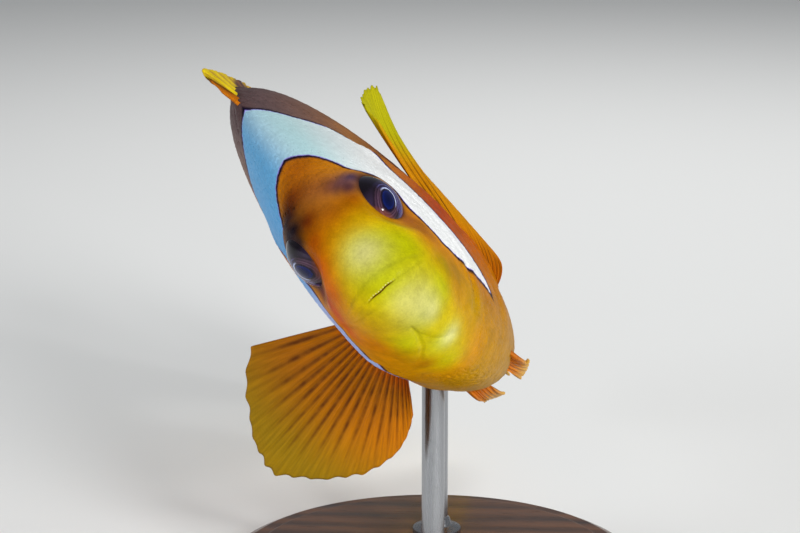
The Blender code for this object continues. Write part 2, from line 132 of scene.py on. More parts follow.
def pose(points):
    """Take points of the straight, level fish (mm) to their places in the world (m)."""
    x, y, z = np.asarray(points, float).T
    twist = np.radians(-TWIST) * ramp(y, TWIST_FROM, TWIST_TO)
    rise = z - TWIST_HEIGHT
    x, z = (x * np.cos(twist) + rise * np.sin(twist),
            TWIST_HEIGHT - x * np.sin(twist) + rise * np.cos(twist))
    behind = np.maximum(y - BEND_FROM, 0.0)
    turn = np.arctan(2.0 * BEND * behind)
    bent = np.stack((-BEND * behind ** 2 + x * np.cos(turn), y + x * np.sin(turn), z), axis=-1)
    return (bent @ np.array(LIFT).T + SNOUT_AT) * MM


skin_check = pose(body_surface(np.sqrt(np.linspace(1.0, 104.0, 50)), np.full(50, 0.5)))
print("the body runs from", skin_check[0].round(4), "to", skin_check[-1].round(4))

# %% [markdown]
# ## Camera, floor and light
#
# The fish is seen almost head-on from a little above, through a long lens, so its face is
# natural and not swollen.  A pale floor and big soft lamps are the usual product studio: a large
# key lamp to the right, a weaker one that fills the shaded side, and a third from behind that
# draws a thin light edge round the back.  A dark eye mirrors every lamp near it, so these three
# are left out of reflections, and one small lamp gives both eyes their point of light.

# %% Camera
def add_camera(place, tilt, turn, lens):
    data = bpy.data.cameras.new("camera")
    data.lens = lens
    data.clip_start = 0.01
    camera = bpy.data.objects.new("camera", data)
    bpy.context.collection.objects.link(camera)
    camera.location = place
    camera.rotation_euler = (math.radians(90.0 - tilt), 0.0, math.radians(turn))
    bpy.context.scene.camera = camera


add_camera((0.0146, -0.3686, 0.1410), 14.3, 2.94, 130.68)

# %% Floor and lamps
def colour(red, green, blue):
    """A colour as a painter picks it, 0 to 255, as the linear numbers that shaders use."""
    def linear(part):
        part /= 255.0
        return part / 12.92 if part <= 0.04045 else ((part + 0.055) / 1.055) ** 2.4
    return linear(red), linear(green), linear(blue)


def new_material(name, uniform):
    """A material with its node tree and shader; uniform gives the inputs that are equal all over."""
    mat = bpy.data.materials.new(name)
    mat.use_nodes = True
    shader = mat.node_tree.nodes["Principled BSDF"]
    for key, value in uniform.items():
        shader.inputs[key].default_value = value
    return mat, mat.node_tree, shader

def add_floor():
    bm = bmesh.new()
    bmesh.ops.create_grid(bm, x_segments=1, y_segments=1, size=3.0)
    mesh = bpy.data.meshes.new("floor")
    bm.to_mesh(mesh)
    bm.free()
    floor = bpy.data.objects.new("floor", mesh)
    bpy.context.collection.objects.link(floor)
    mat, _, _ = new_material("floor", {"Roughness": 0.8, "Base Color": (*colour(226, 226, 224), 1.0)})
    mesh.materials.append(mat)


def add_lamp(name, place, target, size, power, tint=(1.0, 1.0, 1.0), mirrored=True):
    data = bpy.data.lights.new(name, "AREA")
    data.shape = "DISK"
    data.size = size
    data.energy = power
    data.color = tint
    lamp = bpy.data.objects.new(name, data)
    bpy.context.collection.objects.link(lamp)
    lamp.location = place
    lamp.rotation_euler = (Vector(target) - Vector(place)).to_track_quat("-Z", "Y").to_euler()
    lamp.visible_glossy = mirrored


FISH_MIDDLE = (0.0, -0.02, 0.05)
add_floor()
add_lamp("key", (0.20, -0.46, 0.26), FISH_MIDDLE, 0.14, 2.5, mirrored=False)
add_lamp("fill", (-0.40, -0.25, 0.20), FISH_MIDDLE, 0.30, 1.2, (0.94, 0.97, 1.0), mirrored=False)
add_lamp("catchlight", (0.287, -0.201, 0.201), FISH_MIDDLE, 0.04, 0.3)
add_lamp("rim", (0.05, 0.35, 0.35), FISH_MIDDLE, 0.25, 1.1, mirrored=False)
world = bpy.data.worlds.new("studio")
world.use_nodes = True
world.node_tree.nodes["Background"].inputs["Color"].default_value = (0.86, 0.90, 0.95, 1.0)
world.node_tree.nodes["Background"].inputs["Strength"].default_value = 0.24
bpy.context.scene.world = world
bpy.context.scene.view_settings.view_transform = "Standard"
print("camera, floor and lamps are in place")

# %% [markdown]
# ## Relief: lips, chin, cheeks and eye rims
#
# A sculptor would add the face with clay tools.  Here each fold is a small function that says how
# far the flesh stands out or sinks in at a place, in millimetres, and the skin and the scales
# both follow the sum.  `ridge` is the basic tool: a soft line of a given width.  Formulas keep
# the folds equal on both sides, which a hand-moved mesh would not; the few that differ, such as
# the jaw that is closed a little askew, are named.

# %% Tools for folds
def ridge(distance, width):
    """1 on a line, falling softly to 0 over about twice its width."""
    return np.exp(-(distance / width) ** 2)


def path_distance(across, up, path):
    """Distance to a line through a few points, in the plane of across and up."""
    nearest = np.full(across.shape, 1e3)
    for (a0, u0), (a1, u1) in zip(path[:-1], path[1:]):
        da, du = a1 - a0, u1 - u0
        share = np.clip(((across - a0) * da + (up - u0) * du) / (da * da + du * du), 0.0, 1.0)
        nearest = np.minimum(nearest, np.hypot(across - a0 - share * da, up - u0 - share * du))
    return nearest


# %% Lips, chin and jaw
LIP_CORNER = 5.4
MOUTH_MIDDLE = -0.35
SLIT_UP, SLIT_ARCH, SLIT_WAVE, SLIT_TURNS = 0.05, 0.012, 0.04, 3.1   # the closed mouth's line
JAW_PATH = ((0.0, -5.5), (0.35, -6.7), (1.05, -8.1), (2.1, -8.9), (3.6, -9.4), (5.2, -9.6))
JAW_MIDDLE = -0.60                  # the lower jaw is closed a little to the right of the middle
CHEEK_PATH = ((7.4, -0.5), (5.9, -1.8), (5.6, -3.2), (5.6, -5.6), (5.2, -7.5))
PREOPERCLE = ((19.5, 9.0), (20.5, 3.0), (19.5, -3.0), (16.0, -8.0), (10.5, -10.5))   # as (y, z)
NOSTRIL = (2.7, 5.4, 4.8)
FULL_CHEEK = 0.65                   # the right cheek stands out this much more (mm)


def slit_height(x):
    """The height of the closed mouth's line."""
    return SLIT_UP - SLIT_ARCH * x ** 2 + SLIT_WAVE * np.sin(SLIT_TURNS * x)


def lips_relief(x, y, z):
    face = 1.0 - ramp(y, 5.5, 9.0)
    between_corners = face * (1.0 - ramp(np.abs(x), LIP_CORNER - 0.9, LIP_CORNER + 0.5))
    slit = slit_height(x)
    top, bottom = 2.1 - 0.05 * x ** 2, -1.45 + 0.02 * x ** 2
    upper = np.clip((z - slit) / (top - slit), 0.0, 1.0)
    lower = np.clip((slit - z) / (slit - bottom), 0.0, 1.0)
    rolls = 0.13 * np.sin(np.pi * upper) + 0.12 * np.sin(np.pi * lower)
    grooves = -0.08 * ridge(z - top, 0.38) - 0.05 * ridge(z - bottom, 0.40)
    opening = -(0.02 + 0.12 * np.exp(-((x - MOUTH_MIDDLE) / 1.9) ** 4)) * ridge(z - slit, 0.17)
    return between_corners * (rolls + grooves + opening)


def jaw_relief(x, y, z):
    face = 1.0 - ramp(y, 9.0, 13.0)
    off_middle = np.abs(x - JAW_MIDDLE)
    chin = 0.42 * np.exp(-((x - 0.8) / 3.0) ** 2 - ((z + 3.7) / 1.9) ** 2)
    lobes = 0.22 * np.exp(-((off_middle - 1.9) / 1.3) ** 2 - ((z + 7.4) / 1.8) ** 2)
    crease_depth = 0.32 - 0.27 * ramp(x - JAW_MIDDLE, -0.3, 0.3)
    crease = -crease_depth * ridge(path_distance(off_middle, z, JAW_PATH), 0.28)
    gap_half = np.interp(-z, [-corner[1] for corner in JAW_PATH], [corner[0] for corner in JAW_PATH])
    throat = -0.12 * (1.0 - ramp(off_middle, gap_half - 0.3, gap_half)) * ramp(-z, 5.2, 6.0)
    throat *= 1.0 - ramp(-z, 8.8, 9.6)
    return face * (chin + lobes + crease + throat)


def cheek_relief(x, y, z):
    side = np.abs(x)
    front_edge = path_distance(side, z, CHEEK_PATH) + 2.0 * ramp(y, 15.0, 18.0)
    edge = path_distance(y, z, PREOPERCLE)
    behind_face = ramp(y, 13.0, 16.5)
    folds = -0.15 * ridge(front_edge, 0.60)
    folds += behind_face * (0.10 * ridge(edge - 1.5, 0.9) - 0.12 * ridge(edge, 0.8))
    nostril = np.sqrt((side - NOSTRIL[0]) ** 2 + (y - NOSTRIL[1]) ** 2 + (z - NOSTRIL[2]) ** 2)
    pit = -0.30 * ridge(nostril, 0.24) + 0.08 * ridge(nostril - 0.42, 0.14)
    full = FULL_CHEEK * ramp(-x, 3.0, 6.0) * ridge(y - 20.0, 7.0) * ridge(z + 6.2, 4.8)
    return folds + pit + full


# %% Gill covers, fin roots and eye rims
SHOULDER_Y, SHOULDER_RADIUS = 4.0, 30.0   # the gill covers' rear edge is an arc about this y
SHOULDER_LOW, SHOULDER_HIGH = -15.0, 13.0
SLIT_BEHIND = 0.35                  # the gill slit's middle lies this far behind the covers' edge
EYE_CENTRE = (4.72, 11.5, 8.28)
EYE_RADII = (2.6, 3.9, 3.9)
EYE_TURN = (24.0, 4.5)
EYE_OPENING = 3.02
ORBIT_OUT = 1.30                    # the eyelids' edge lies this far out from the ball's middle


def behind_gills(y, z):
    """Distance behind the gill covers' rear edge, which runs straight on above and below."""
    height = np.clip(z, SHOULDER_LOW, SHOULDER_HIGH)
    return y - SHOULDER_Y - np.sqrt(SHOULDER_RADIUS ** 2 - height ** 2)


def gill_reach(z):
    """1 beside the gill slit, 0 above and below it."""
    return ramp(z, -15.5, -12.0) * (1.0 - ramp(z, 13.0, 17.0))


def gill_relief(x, y, z):
    behind = behind_gills(y, z)
    cover = 0.38 * (1.0 - ramp(-behind, 0.0, 4.5)) * (1.0 - ramp(behind, 0.0, SLIT_BEHIND))
    slit = -0.34 * ridge(behind - SLIT_BEHIND, 0.30)
    return gill_reach(z) * (cover + slit)


def fin_root_relief(x, y, z):
    back = 0.75 * ridge(x, 0.75) * ramp(y, 31.0, 34.5) * (1.0 - ramp(y, 86.0, 90.0)) * (z > 0.0)
    keel = 0.55 * ridge(x, 0.7) * ramp(y, 64.0, 67.0) * (1.0 - ramp(y, 86.0, 90.0)) * (z < 0.0)
    along = (z + 5.0) / 4.6
    shoulder = 0.65 * np.exp(-((y - 36.3) / 1.5) ** 2 - along ** 4)
    return back + keel + shoulder


def eye_frame(side):
    """The eye's own directions (out through the pupil, backwards, up) as the rows of a matrix."""
    forwards, upwards = (math.radians(angle) for angle in EYE_TURN)
    turn = Matrix.Rotation(-side * forwards, 3, "Z") @ Matrix.Rotation(-side * upwards, 3, "Y")
    return np.array(turn).T


def seen_from_eye(points, side):
    """Each point's place along one eye's own directions, and its distance from the eye's axis."""
    middle = np.array((side, 1.0, 1.0)) * np.array(EYE_CENTRE)
    local = (points - middle) @ eye_frame(side).T
    outside = side * local[..., 0] > -2.0
    return local, np.where(outside, np.hypot(local[..., 1], local[..., 2]), 1e3)


def orbit_shift(points):
    """The flesh round each eye is drawn to the plane of its eyelids: a brow above, a dip in front."""
    total = np.zeros(points.shape)
    for side in (1.0, -1.0):
        local, around = seen_from_eye(points, side)
        needed = np.clip(ORBIT_OUT - side * local[..., 0], -1.5, 1.9)
        reach = np.where(needed > 0.0, 5.9, 6.6)
        share = 1.0 - ramp(around, EYE_OPENING, reach)
        total += side * (needed * share)[..., None] * eye_frame(side)[0]
    return total


def eye_relief(x, y, z):
    total = np.zeros(x.shape)
    points = np.stack((x, y, z), axis=-1)
    for side in (1.0, -1.0):
        local, around = seen_from_eye(points, side)
        socket = -2.0 * (1.0 - ramp(around, EYE_OPENING - 0.45, EYE_OPENING + 0.05))
        rim = 0.10 * ridge(around - EYE_OPENING - 0.24, 0.24)
        above = ramp(z, 10.5, 12.0) * (1.0 - ramp(around, 5.6, 6.6))
        inward = 1.0 - ramp(side * x, 5.0, 5.8)
        wrinkles = 0.06 * np.sin(around * 9.0) * above * inward * ramp(around, 4.2, 4.6)
        total += np.where(around < 50.0, socket + rim + wrinkles, 0.0)
    return total


FOLDS = (lips_relief, jaw_relief, cheek_relief, gill_relief, fin_root_relief, eye_relief)
print("folds:", ", ".join(fold.__name__ for fold in FOLDS))


# %% The flesh: the bare body plus its folds
def flesh(root_y, angle, lift):
    """Points of the finished flesh, lift outside it."""
    here = body_surface(root_y, angle)
    along = body_surface(root_y + 0.01, angle) - body_surface(np.maximum(root_y - 0.01, 0.0), angle)
    around = body_surface(root_y, angle + 0.004) - body_surface(root_y, angle - 0.004)
    out = np.cross(along, around)
    length = np.linalg.norm(out, axis=-1, keepdims=True)
    ahead = np.zeros(out.shape)
    ahead[..., 1] = -1.0
    turned_out = ramp(root_y, 0.03, 0.35)[..., None]
    out = ahead * (1.0 - turned_out) + out / np.maximum(length, 1e-9) * turned_out
    out /= np.linalg.norm(out, axis=-1, keepdims=True)
    amount = sum(fold(*here.T) for fold in FOLDS) + lift
    return here + orbit_shift(here) + out * amount[..., None]


# %% [markdown]
# ## Markings
#
# The two white bars are the fish's own signs, with thin dark edges.  An image could hold them,
# but a crisp edge would need a huge one.  Instead each point of the skin stores how far inside
# or outside a bar it lies, in millimetres, and the material turns that distance into white, the
# violet fringe and the dark line.  The bars' white carries painted light and shade: white on the
# lit left flank, sky blue on the shaded right one.  The colours of the face are misted on like
# airbrush paint: each stroke is a place, a radius and a colour.  Some strokes are painted shade
# and painted highlights.

# %% Bars, by height on the flank (-90 is the keel, 90 the back): front and rear edge
HEAD_BAR = np.array((
    (-90.0, 29.0, 24.0), (-50.0, 27.0, 24.4), (-40.0, 25.6, 25.0), (-34.0, 23.9, 25.4),
    (-28.0, 21.2, 25.4), (-20.0, 17.6, 25.0), (-11.0, 15.2, 24.6), (4.0, 13.8, 24.4),
    (17.0, 14.2, 26.4), (26.0, 15.6, 29.0),
    (32.0, 15.3, 31.0), (38.0, 14.2, 31.4), (44.0, 13.5, 31.3), (51.0, 13.8, 30.0),
    (59.0, 14.5, 29.1), (66.0, 15.3, 29.3), (75.0, 16.0, 30.2), (84.0, 16.6, 31.1),
    (90.0, 17.0, 31.8)))
MIDDLE_BAR = np.array((
    (-90.0, 61.0, 62.5), (-70.0, 60.3, 64.0), (-45.0, 59.3, 65.0), (0.0, 58.0, 66.0),
    (45.0, 57.2, 66.6), (90.0, 57.6, 65.6)))


LOW_END_AHEAD = 5.5                 # the head bar's low end reaches further forward on the right
FARTHEST = 20.0                     # distances to the bars are stored up to this (mm)

def elevation(angle):
    return np.degrees(np.arcsin(np.clip(np.sin(angle), -1.0, 1.0)))


def inside_bars(root_y, angle):
    y, height = root_y ** 2, elevation(angle)
    ahead = LOW_END_AHEAD * ridge(height + 36.0, 15.0) * (np.cos(angle) < 0.0) * (y < 40.0)
    depths = [np.minimum(y + ahead - read_table(bar, height, 1), read_table(bar, height, 2) - y)
              for bar in (HEAD_BAR, MIDDLE_BAR)]
    return np.maximum(*depths)


def bar_depth(root_y, angle):
    """Distance inside a bar, in mm along the skin; negative outside."""
    here, value = body_surface(root_y, angle), inside_bars(root_y, angle)
    slopes = []
    for d_root, d_angle in ((0.01, 0.0), (0.0, 0.01)):
        step = np.linalg.norm(body_surface(root_y + d_root, angle + d_angle) - here, axis=-1)
        rise = inside_bars(root_y + d_root, angle + d_angle) - value
        slopes.append(rise / np.maximum(step, 1e-6))
    depth = np.clip(value / np.maximum(np.hypot(*slopes), 0.25), -FARTHEST, FARTHEST)
    return np.where(root_y < 3.0, -FARTHEST, depth)


# %% Airbrush strokes: x, y, z, radius (mm), colour, strength
BODY_COLOURS = np.array([(height, *colour(*shade)) for height, shade in (
    (-90.0, (188, 138, 4)), (-45.0, (180, 120, 2)), (-12.0, (180, 86, 2)), (4.0, (168, 64, 8)),
    (16.0, (176, 90, 14)), (30.0, (168, 106, 38)), (46.0, (128, 88, 64)), (68.0, (96, 74, 72)),
    (90.0, (80, 60, 60)))])
FACE_COLOUR = colour(202, 128, 0)
STROKES = (
    # the yellow snout, lips and chin
    ((1.2, 3.0, 3.8), 5.0, (168, 170, 0), 1.0),
    ((4.6, 4.2, 2.2), 3.4, (172, 174, 0), 0.9),
    ((0.6, 1.5, 0.4), 4.2, (156, 160, 0), 1.0),
    ((1.5, 4.0, -4.0), 4.8, (168, 172, 0), 1.0),
    ((4.8, 6.0, -4.0), 2.6, (182, 184, 0), 0.8),
    ((-2.4, 6.0, -6.2), 2.6, (182, 182, 0), 0.9),
    ((0.8, 9.5, -9.0), 3.8, (186, 188, 0), 0.95),
    ((-0.8, 13.2, -11.2), 3.0, (188, 184, 0), 0.85),
    ((2.6, 5.2, 8.3), 1.7, (174, 142, 0), 0.8),
    ((4.2, 6.9, 8.9), 1.5, (170, 128, 0), 0.8),
    # the right cheek: orange partly its colour and partly painted shade, with a painted shadow in dark
    # red under the eye
    ((-4.6, 5.6, 6.6), 2.8, (180, 80, 0), 1.0),
    ((-4.8, 8.0, 7.3), 1.5, (142, 60, 0), 0.9),
    ((-4.9, 4.9, 3.4), 2.2, (196, 92, 0), 0.9),
    ((-6.7, 11.0, 4.6), 1.9, (92, 12, 0), 1.0),
    ((-6.4, 7.4, 3.6), 1.7, (134, 16, 0), 1.0),
    ((-6.6, 7.4, 1.4), 1.7, (180, 58, 0), 0.9),
    ((-6.9, 9.5, -0.8), 2.4, (206, 76, 0), 0.9),
    ((-5.8, 7.8, -4.4), 2.6, (204, 120, 0), 0.85),
    # the left cheek
    ((7.2, 11.2, 4.4), 1.9, (142, 76, 38), 0.95),
    ((7.2, 10.6, 2.2), 2.2, (154, 90, 4), 0.9),
    ((6.7, 8.6, -2.4), 2.0, (150, 128, 0), 0.8),
    ((7.2, 11.6, -4.4), 2.4, (150, 108, 4), 0.85),
    ((5.8, 15.0, -8.5), 4.0, (168, 138, 0), 0.7),
    ((-5.4, 16.0, -9.5), 4.0, (200, 138, 0), 0.7),
    ((-3.2, 12.0, -9.9), 1.6, (170, 106, 0), 0.8),
    # the forehead, brown and dark towards the right eye and the bar
    ((0.6, 7.0, 10.8), 3.2, (150, 84, 0), 1.0),
    ((0.4, 10.6, 14.2), 3.8, (142, 84, 32), 1.0),
    ((0.4, 14.8, 17.8), 3.8, (158, 84, 8), 0.95),
    ((-3.2, 6.4, 9.4), 2.0, (142, 62, 0), 0.9),
    ((3.6, 7.4, 10.4), 1.6, (140, 74, 0), 0.9),
    ((-2.2, 12.2, 15.2), 2.4, (108, 40, 2), 0.85),
    ((-2.3, 8.2, 11.8), 1.9, (100, 32, 0), 0.9),
    ((-3.6, 11.6, 13.9), 2.0, (68, 22, 2), 0.9),
    ((-5.0, 12.0, 13.4), 2.0, (30, 16, 22), 0.95),
    ((-4.3, 9.2, 12.2), 2.0, (24, 10, 10), 1.0),
    ((-4.7, 8.3, 10.6), 1.4, (28, 12, 2), 0.95),
    ((-5.5, 10.2, 11.9), 1.8, (14, 12, 28), 1.0),
    ((2.4, 9.8, 13.3), 1.6, (118, 64, 34), 0.8),
    ((3.2, 9.4, 12.7), 1.3, (102, 60, 48), 0.8),
    ((4.0, 8.7, 11.7), 1.1, (74, 36, 34), 0.9),
    ((5.0, 10.4, 12.6), 1.9, (62, 46, 72), 0.95),
    # painted shade: olive darkening along the crease under the right lobe of the chin
    ((-1.7, 5.4, -8.2), 0.8, (130, 104, 0), 0.7),
    ((-2.9, 7.6, -9.2), 0.9, (140, 96, 0), 0.7),
    # painted highlights: pale wet sheen on the snout and chin
    ((0.9, 1.9, 4.7), 2.3, (186, 180, 108), 0.95),
    ((0.7, 1.2, -2.3), 1.5, (182, 178, 96), 0.7),
    ((1.8, 2.6, -3.6), 2.5, (184, 180, 108), 0.85),
    ((2.4, 4.2, -5.4), 1.6, (190, 186, 118), 0.7),
    ((1.7, 9.8, -9.2), 1.5, (200, 196, 130), 0.8),
)
EYELID_COLOUR = colour(34, 15, 22)


def painted(shade, tint, share):
    share = np.asarray(share)[:, None]
    return shade * (1.0 - share) + np.array(tint) * share


def airbrush(points, angle):
    """The undercoat's colour at each point, with painted shade along the gill slit."""
    height = elevation(angle)
    body = np.stack([read_table(BODY_COLOURS, height, k) for k in (1, 2, 3)], axis=-1)
    shade = painted(body, FACE_COLOUR, 1.0 - ramp(points[:, 1], 15.0, 21.0))
    for centre, radius, tint, strength in STROKES:
        away = np.linalg.norm(points - np.array(centre), axis=-1) / radius
        shade = painted(shade, colour(*tint), strength * np.exp(-away ** 2))
    for side in (1.0, -1.0):
        local, around = seen_from_eye(points, side)
        width = 0.30 + 0.35 * ramp(local[:, 1], -2.0, 2.5) + 0.25 * ramp(local[:, 2], 0.5, 3.0)
        off_rim = np.maximum(around - EYE_OPENING - 0.1, 0.0)
        shade = painted(shade, EYELID_COLOUR, 0.95 * ridge(off_rim, width))
    # painted shade: the gill slit is darkened along its crease
    behind = behind_gills(points[:, 1], points[:, 2])
    slit = gill_reach(points[:, 2]) * ridge(behind - SLIT_BEHIND, 0.38)
    return np.clip(painted(shade, colour(70, 24, 8), 0.85 * slit), 0.0, 1.0)


def bar_tint_with_painted_light(points, angle):
    """The bars' white, with painted light and shade: clean white on the lit left flank, sky blue on the
    shaded right, greenish on the nape.
    """
    # painted light and shade: white on the lit left flank, blue and low lavender on the shaded right
    # flank
    left = ramp(points[:, 0], -2.5, 4.0)
    low = ramp(-elevation(angle), -24.0, -2.0)
    nape = 0.85 * ramp(elevation(angle), 25.0, 80.0)
    blue, white, aqua = (np.array(colour(*c)) for c in ((80, 150, 204), (232, 233, 232), (142, 190, 194)))
    right = painted(np.tile(blue, (len(points), 1)), np.array(colour(160, 176, 224)), low)
    shade = painted(right, white, left)
    return painted(shade, aqua, nape * (0.25 + 0.75 * left))


print("bars:", len((HEAD_BAR, MIDDLE_BAR)), "strokes:", len(STROKES))

# %% [markdown]
# ## Materials of the fish
#
# A fish's skin is colour deep under a thin wet film.  So each material has three layers: the
# stored colours, broken up by fine mottling so that no area is flat; a bump of grains or ray
# joints; and a clear coat for the wet shine.  The node trees are built in code with one small
# helper, which sets plain numbers on the sockets and links the rest.

# %% A helper for node trees
def add_node(tree, kind, inputs, **settings):
    """Add a node; inputs maps socket names or numbers to values or to other nodes' outputs."""
    node = tree.nodes.new(kind)
    for key, value in settings.items():
        setattr(node, key, value)
    for key, value in inputs.items():
        if isinstance(value, bpy.types.NodeSocket):
            tree.links.new(value, node.inputs[key])
        else:
            node.inputs[key].default_value = value
    return node


def attribute(tree, name, output):
    return add_node(tree, "ShaderNodeAttribute", {}, attribute_name=name).outputs[output]


def mix(tree, share, first, second, blend_type="MIX"):
    """Mix two colours; share may be a number or a socket."""
    first, second = (value if isinstance(value, bpy.types.NodeSocket) else (*value, 1.0)
                     for value in (first, second))
    node = add_node(tree, "ShaderNodeMix", {0: share, 6: first, 7: second},
                    data_type="RGBA", blend_type=blend_type)
    return node.outputs[2]


def map_range(tree, value, low, high, to_low=0.0, to_high=1.0):
    node = add_node(tree, "ShaderNodeMapRange", {"Value": value, "From Min": low, "From Max": high,
                                                 "To Min": to_low, "To Max": to_high})
    return node.outputs[0]


def noise(tree, vector, scale, detail=4.0, roughness=0.55):
    node = add_node(tree, "ShaderNodeTexNoise", {"Vector": vector, "Scale": scale, "Detail": detail,
                                                 "Roughness": roughness})
    return node.outputs["Fac"]


def math_node(tree, operation, *values):
    node = add_node(tree, "ShaderNodeMath", dict(enumerate(values)), operation=operation)
    return node.outputs[0]

def times(tree, first, second):
    return math_node(tree, "MULTIPLY", first, second)

def plus(tree, first, second):
    return math_node(tree, "ADD", first, second)

def minus(tree, first, second):
    return math_node(tree, "SUBTRACT", first, second)

def dimmed(tree, shade, value):
    """The colour times one number."""
    grey = add_node(tree, "ShaderNodeCombineColor", {0: value, 1: value, 2: value}).outputs[0]
    return mix(tree, 1.0, shade, grey, "MULTIPLY")

def colour_ramp(tree, factor, stops):
    """A colour ramp; each stop is a position, a picked colour and its alpha."""
    node = add_node(tree, "ShaderNodeValToRGB", {"Fac": factor})
    while len(node.color_ramp.elements) < len(stops):
        node.color_ramp.elements.new(0.5)
    for element, (position, shade, alpha) in zip(node.color_ramp.elements, stops):
        element.position, element.color = position, (*colour(*shade), alpha)
    return node


def add_bump(tree, shader, height, strength, depth_mm):
    bump = add_node(tree, "ShaderNodeBump", {"Height": height, "Strength": strength,
                                             "Distance": depth_mm * MM})
    tree.links.new(bump.outputs["Normal"], shader.inputs["Normal"])


# %% Skin colours, shared by the bare skin and the scales
BAR_EDGE = (                        # across 2 mm, from outside a bar to inside
    (0.12, (24, 12, 30), 0.0), (0.33, (14, 8, 26), 0.96), (0.47, (10, 8, 34), 1.0),
    (0.54, (128, 104, 196), 0.85), (0.66, (170, 170, 226), 0.0))

def fish_colour(tree):
    """The undercoat with mottling, then the bars with their dark edges."""
    place = attribute(tree, "fish", "Vector")
    mottle = map_range(tree, noise(tree, place, 0.55, 5.0, 0.62), 0.3, 0.7, 0.80, 1.10)
    speckle = map_range(tree, noise(tree, place, 3.4, 3.0, 0.7), 0.35, 0.65, 0.90, 1.06)
    milky = map_range(tree, noise(tree, place, 0.9, 6.0, 0.7), 0.3, 0.7, 0.90, 1.04)
    coat = dimmed(tree, dimmed(tree, attribute(tree, "paint", "Color"), mottle), speckle)
    # the stored tint carries painted light and shade on the bars' white
    white = dimmed(tree, attribute(tree, "tint", "Color"), milky)
    wobble = map_range(tree, noise(tree, place, 1.3), 0.0, 1.0, -0.22, 0.22)
    depth = plus(tree, attribute(tree, "bar", "Fac"), wobble)
    shade = mix(tree, map_range(tree, depth, -0.03, 0.12), coat, white)
    edge = colour_ramp(tree, map_range(tree, depth, -1.0, 1.0), BAR_EDGE)
    return mix(tree, edge.outputs["Alpha"], shade, edge.outputs["Color"]), place

def mouth_shade_and_teeth(tree, place, shade):
    """The closed mouth's thin dark line, painted shade between the lips, with the edge of the teeth just
    above it.
    """
    parts = add_node(tree, "ShaderNodeSeparateXYZ", {"Vector": place})
    across, back, up = (parts.outputs[axis] for axis in "XYZ")
    wave = times(tree, math_node(tree, "SINE", times(tree, across, SLIT_TURNS)), SLIT_WAVE)
    arch = times(tree, times(tree, across, across), SLIT_ARCH)
    above = minus(tree, plus(tree, minus(tree, up, SLIT_UP), arch), wave)
    off_middle = math_node(tree, "ABSOLUTE", plus(tree, across, -MOUTH_MIDDLE))
    mouth = times(tree, map_range(tree, off_middle, 1.1, 2.2, 1.0, 0.0),
                  map_range(tree, back, 1.8, 2.2, 1.0, 0.0))
    frayed = plus(tree, above, map_range(tree, noise(tree, place, 6.0), 0.0, 1.0, -0.06, 0.06))
    line = map_range(tree, math_node(tree, "ABSOLUTE", frayed), 0.04, 0.13, 1.0, 0.0)
    tooth = map_range(tree, math_node(tree, "SINE", times(tree, across, 17.0)), -0.2, 0.8)
    off_row = math_node(tree, "ABSOLUTE", minus(tree, above, 0.17))
    row = map_range(tree, off_row, 0.03, 0.08, 1.0, 0.0)
    teeth = times(tree, times(tree, row, tooth), mouth)
    # painted shade: the dark line where the lips meet
    shade = mix(tree, times(tree, line, mouth), shade, colour(74, 44, 2))
    return mix(tree, times(tree, teeth, 0.65), shade, colour(226, 216, 150))

def wet_skin(name, grain_scale, grain_mm, has_mouth):
    mat, tree, shader = new_material(name, {
        "Coat Weight": 0.03, "Coat Roughness": 0.20, "Specular IOR Level": 0.03})
    shade, place = fish_colour(tree)
    if has_mouth:
        shade = mouth_shade_and_teeth(tree, place, shade)
    tree.links.new(shade, shader.inputs["Base Color"])
    grains = add_node(tree, "ShaderNodeTexVoronoi", {"Vector": place, "Scale": grain_scale})
    height = plus(tree, times(tree, grains.outputs["Distance"], 0.7), noise(tree, place, 6.0, 3.0))
    add_bump(tree, shader, height, 0.35, grain_mm)
    gloss = map_range(tree, noise(tree, place, 0.8), 0.3, 0.7, 0.30, 0.44)
    tree.links.new(gloss, shader.inputs["Roughness"])
    return mat

SKIN_MATERIAL = wet_skin("wet skin", 2.4, 0.10, True)
SCALE_MATERIAL = wet_skin("wet scales", 4.0, 0.05, False)
print("skin materials:", SKIN_MATERIAL.name, "and", SCALE_MATERIAL.name)


# %% [markdown]
# ## One skin over the flesh
#
# On a real fish head, gill covers, trunk and tail stalk wear one skin, so the separate solids are
# hidden and a single mesh stands for them.  A UV sphere is the right start: its poles become the
# lips and the end of the tail stalk, its rings go back along the body.  They lie close together
# on the face, where the folds are fine.

# %% Helpers that finish a piece
def mesh_from(name, bm):
    mesh = bpy.data.meshes.new(name)
    bm.to_mesh(mesh)
    bm.free()
    return mesh


def read_points(mesh):
    points = np.empty(len(mesh.vertices) * 3)
    mesh.vertices.foreach_get("co", points)
    return points.reshape(-1, 3)


def store(mesh, name, kind, values):
    """Give the mesh an attribute of one value for each vertex."""
    layer = mesh.attributes.new(name, kind, "POINT")
    if kind == "FLOAT_COLOR":
        values = np.hstack((values, np.ones((len(values), 1))))
    key = {"FLOAT": "value", "FLOAT_VECTOR": "vector", "FLOAT_COLOR": "color"}[kind]
    layer.data.foreach_set(key, np.ascontiguousarray(values, dtype=np.float32).ravel())


def finish_piece(name, mesh, points, mat, nodes):
    """Put the mesh at its posed points, with its material, and let it stand for CAD nodes."""
    mesh.vertices.foreach_set("co", points.astype(np.float32).ravel())
    mesh.materials.append(mat)
    mesh.shade_smooth()
    mesh.update()
    piece = bpy.data.objects.new(name, mesh)
    bpy.context.collection.objects.link(piece)
    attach(piece, "root")
    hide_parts(*nodes)
    print(name, "has", sum(len(face.vertices) - 2 for face in mesh.polygons), "triangles")


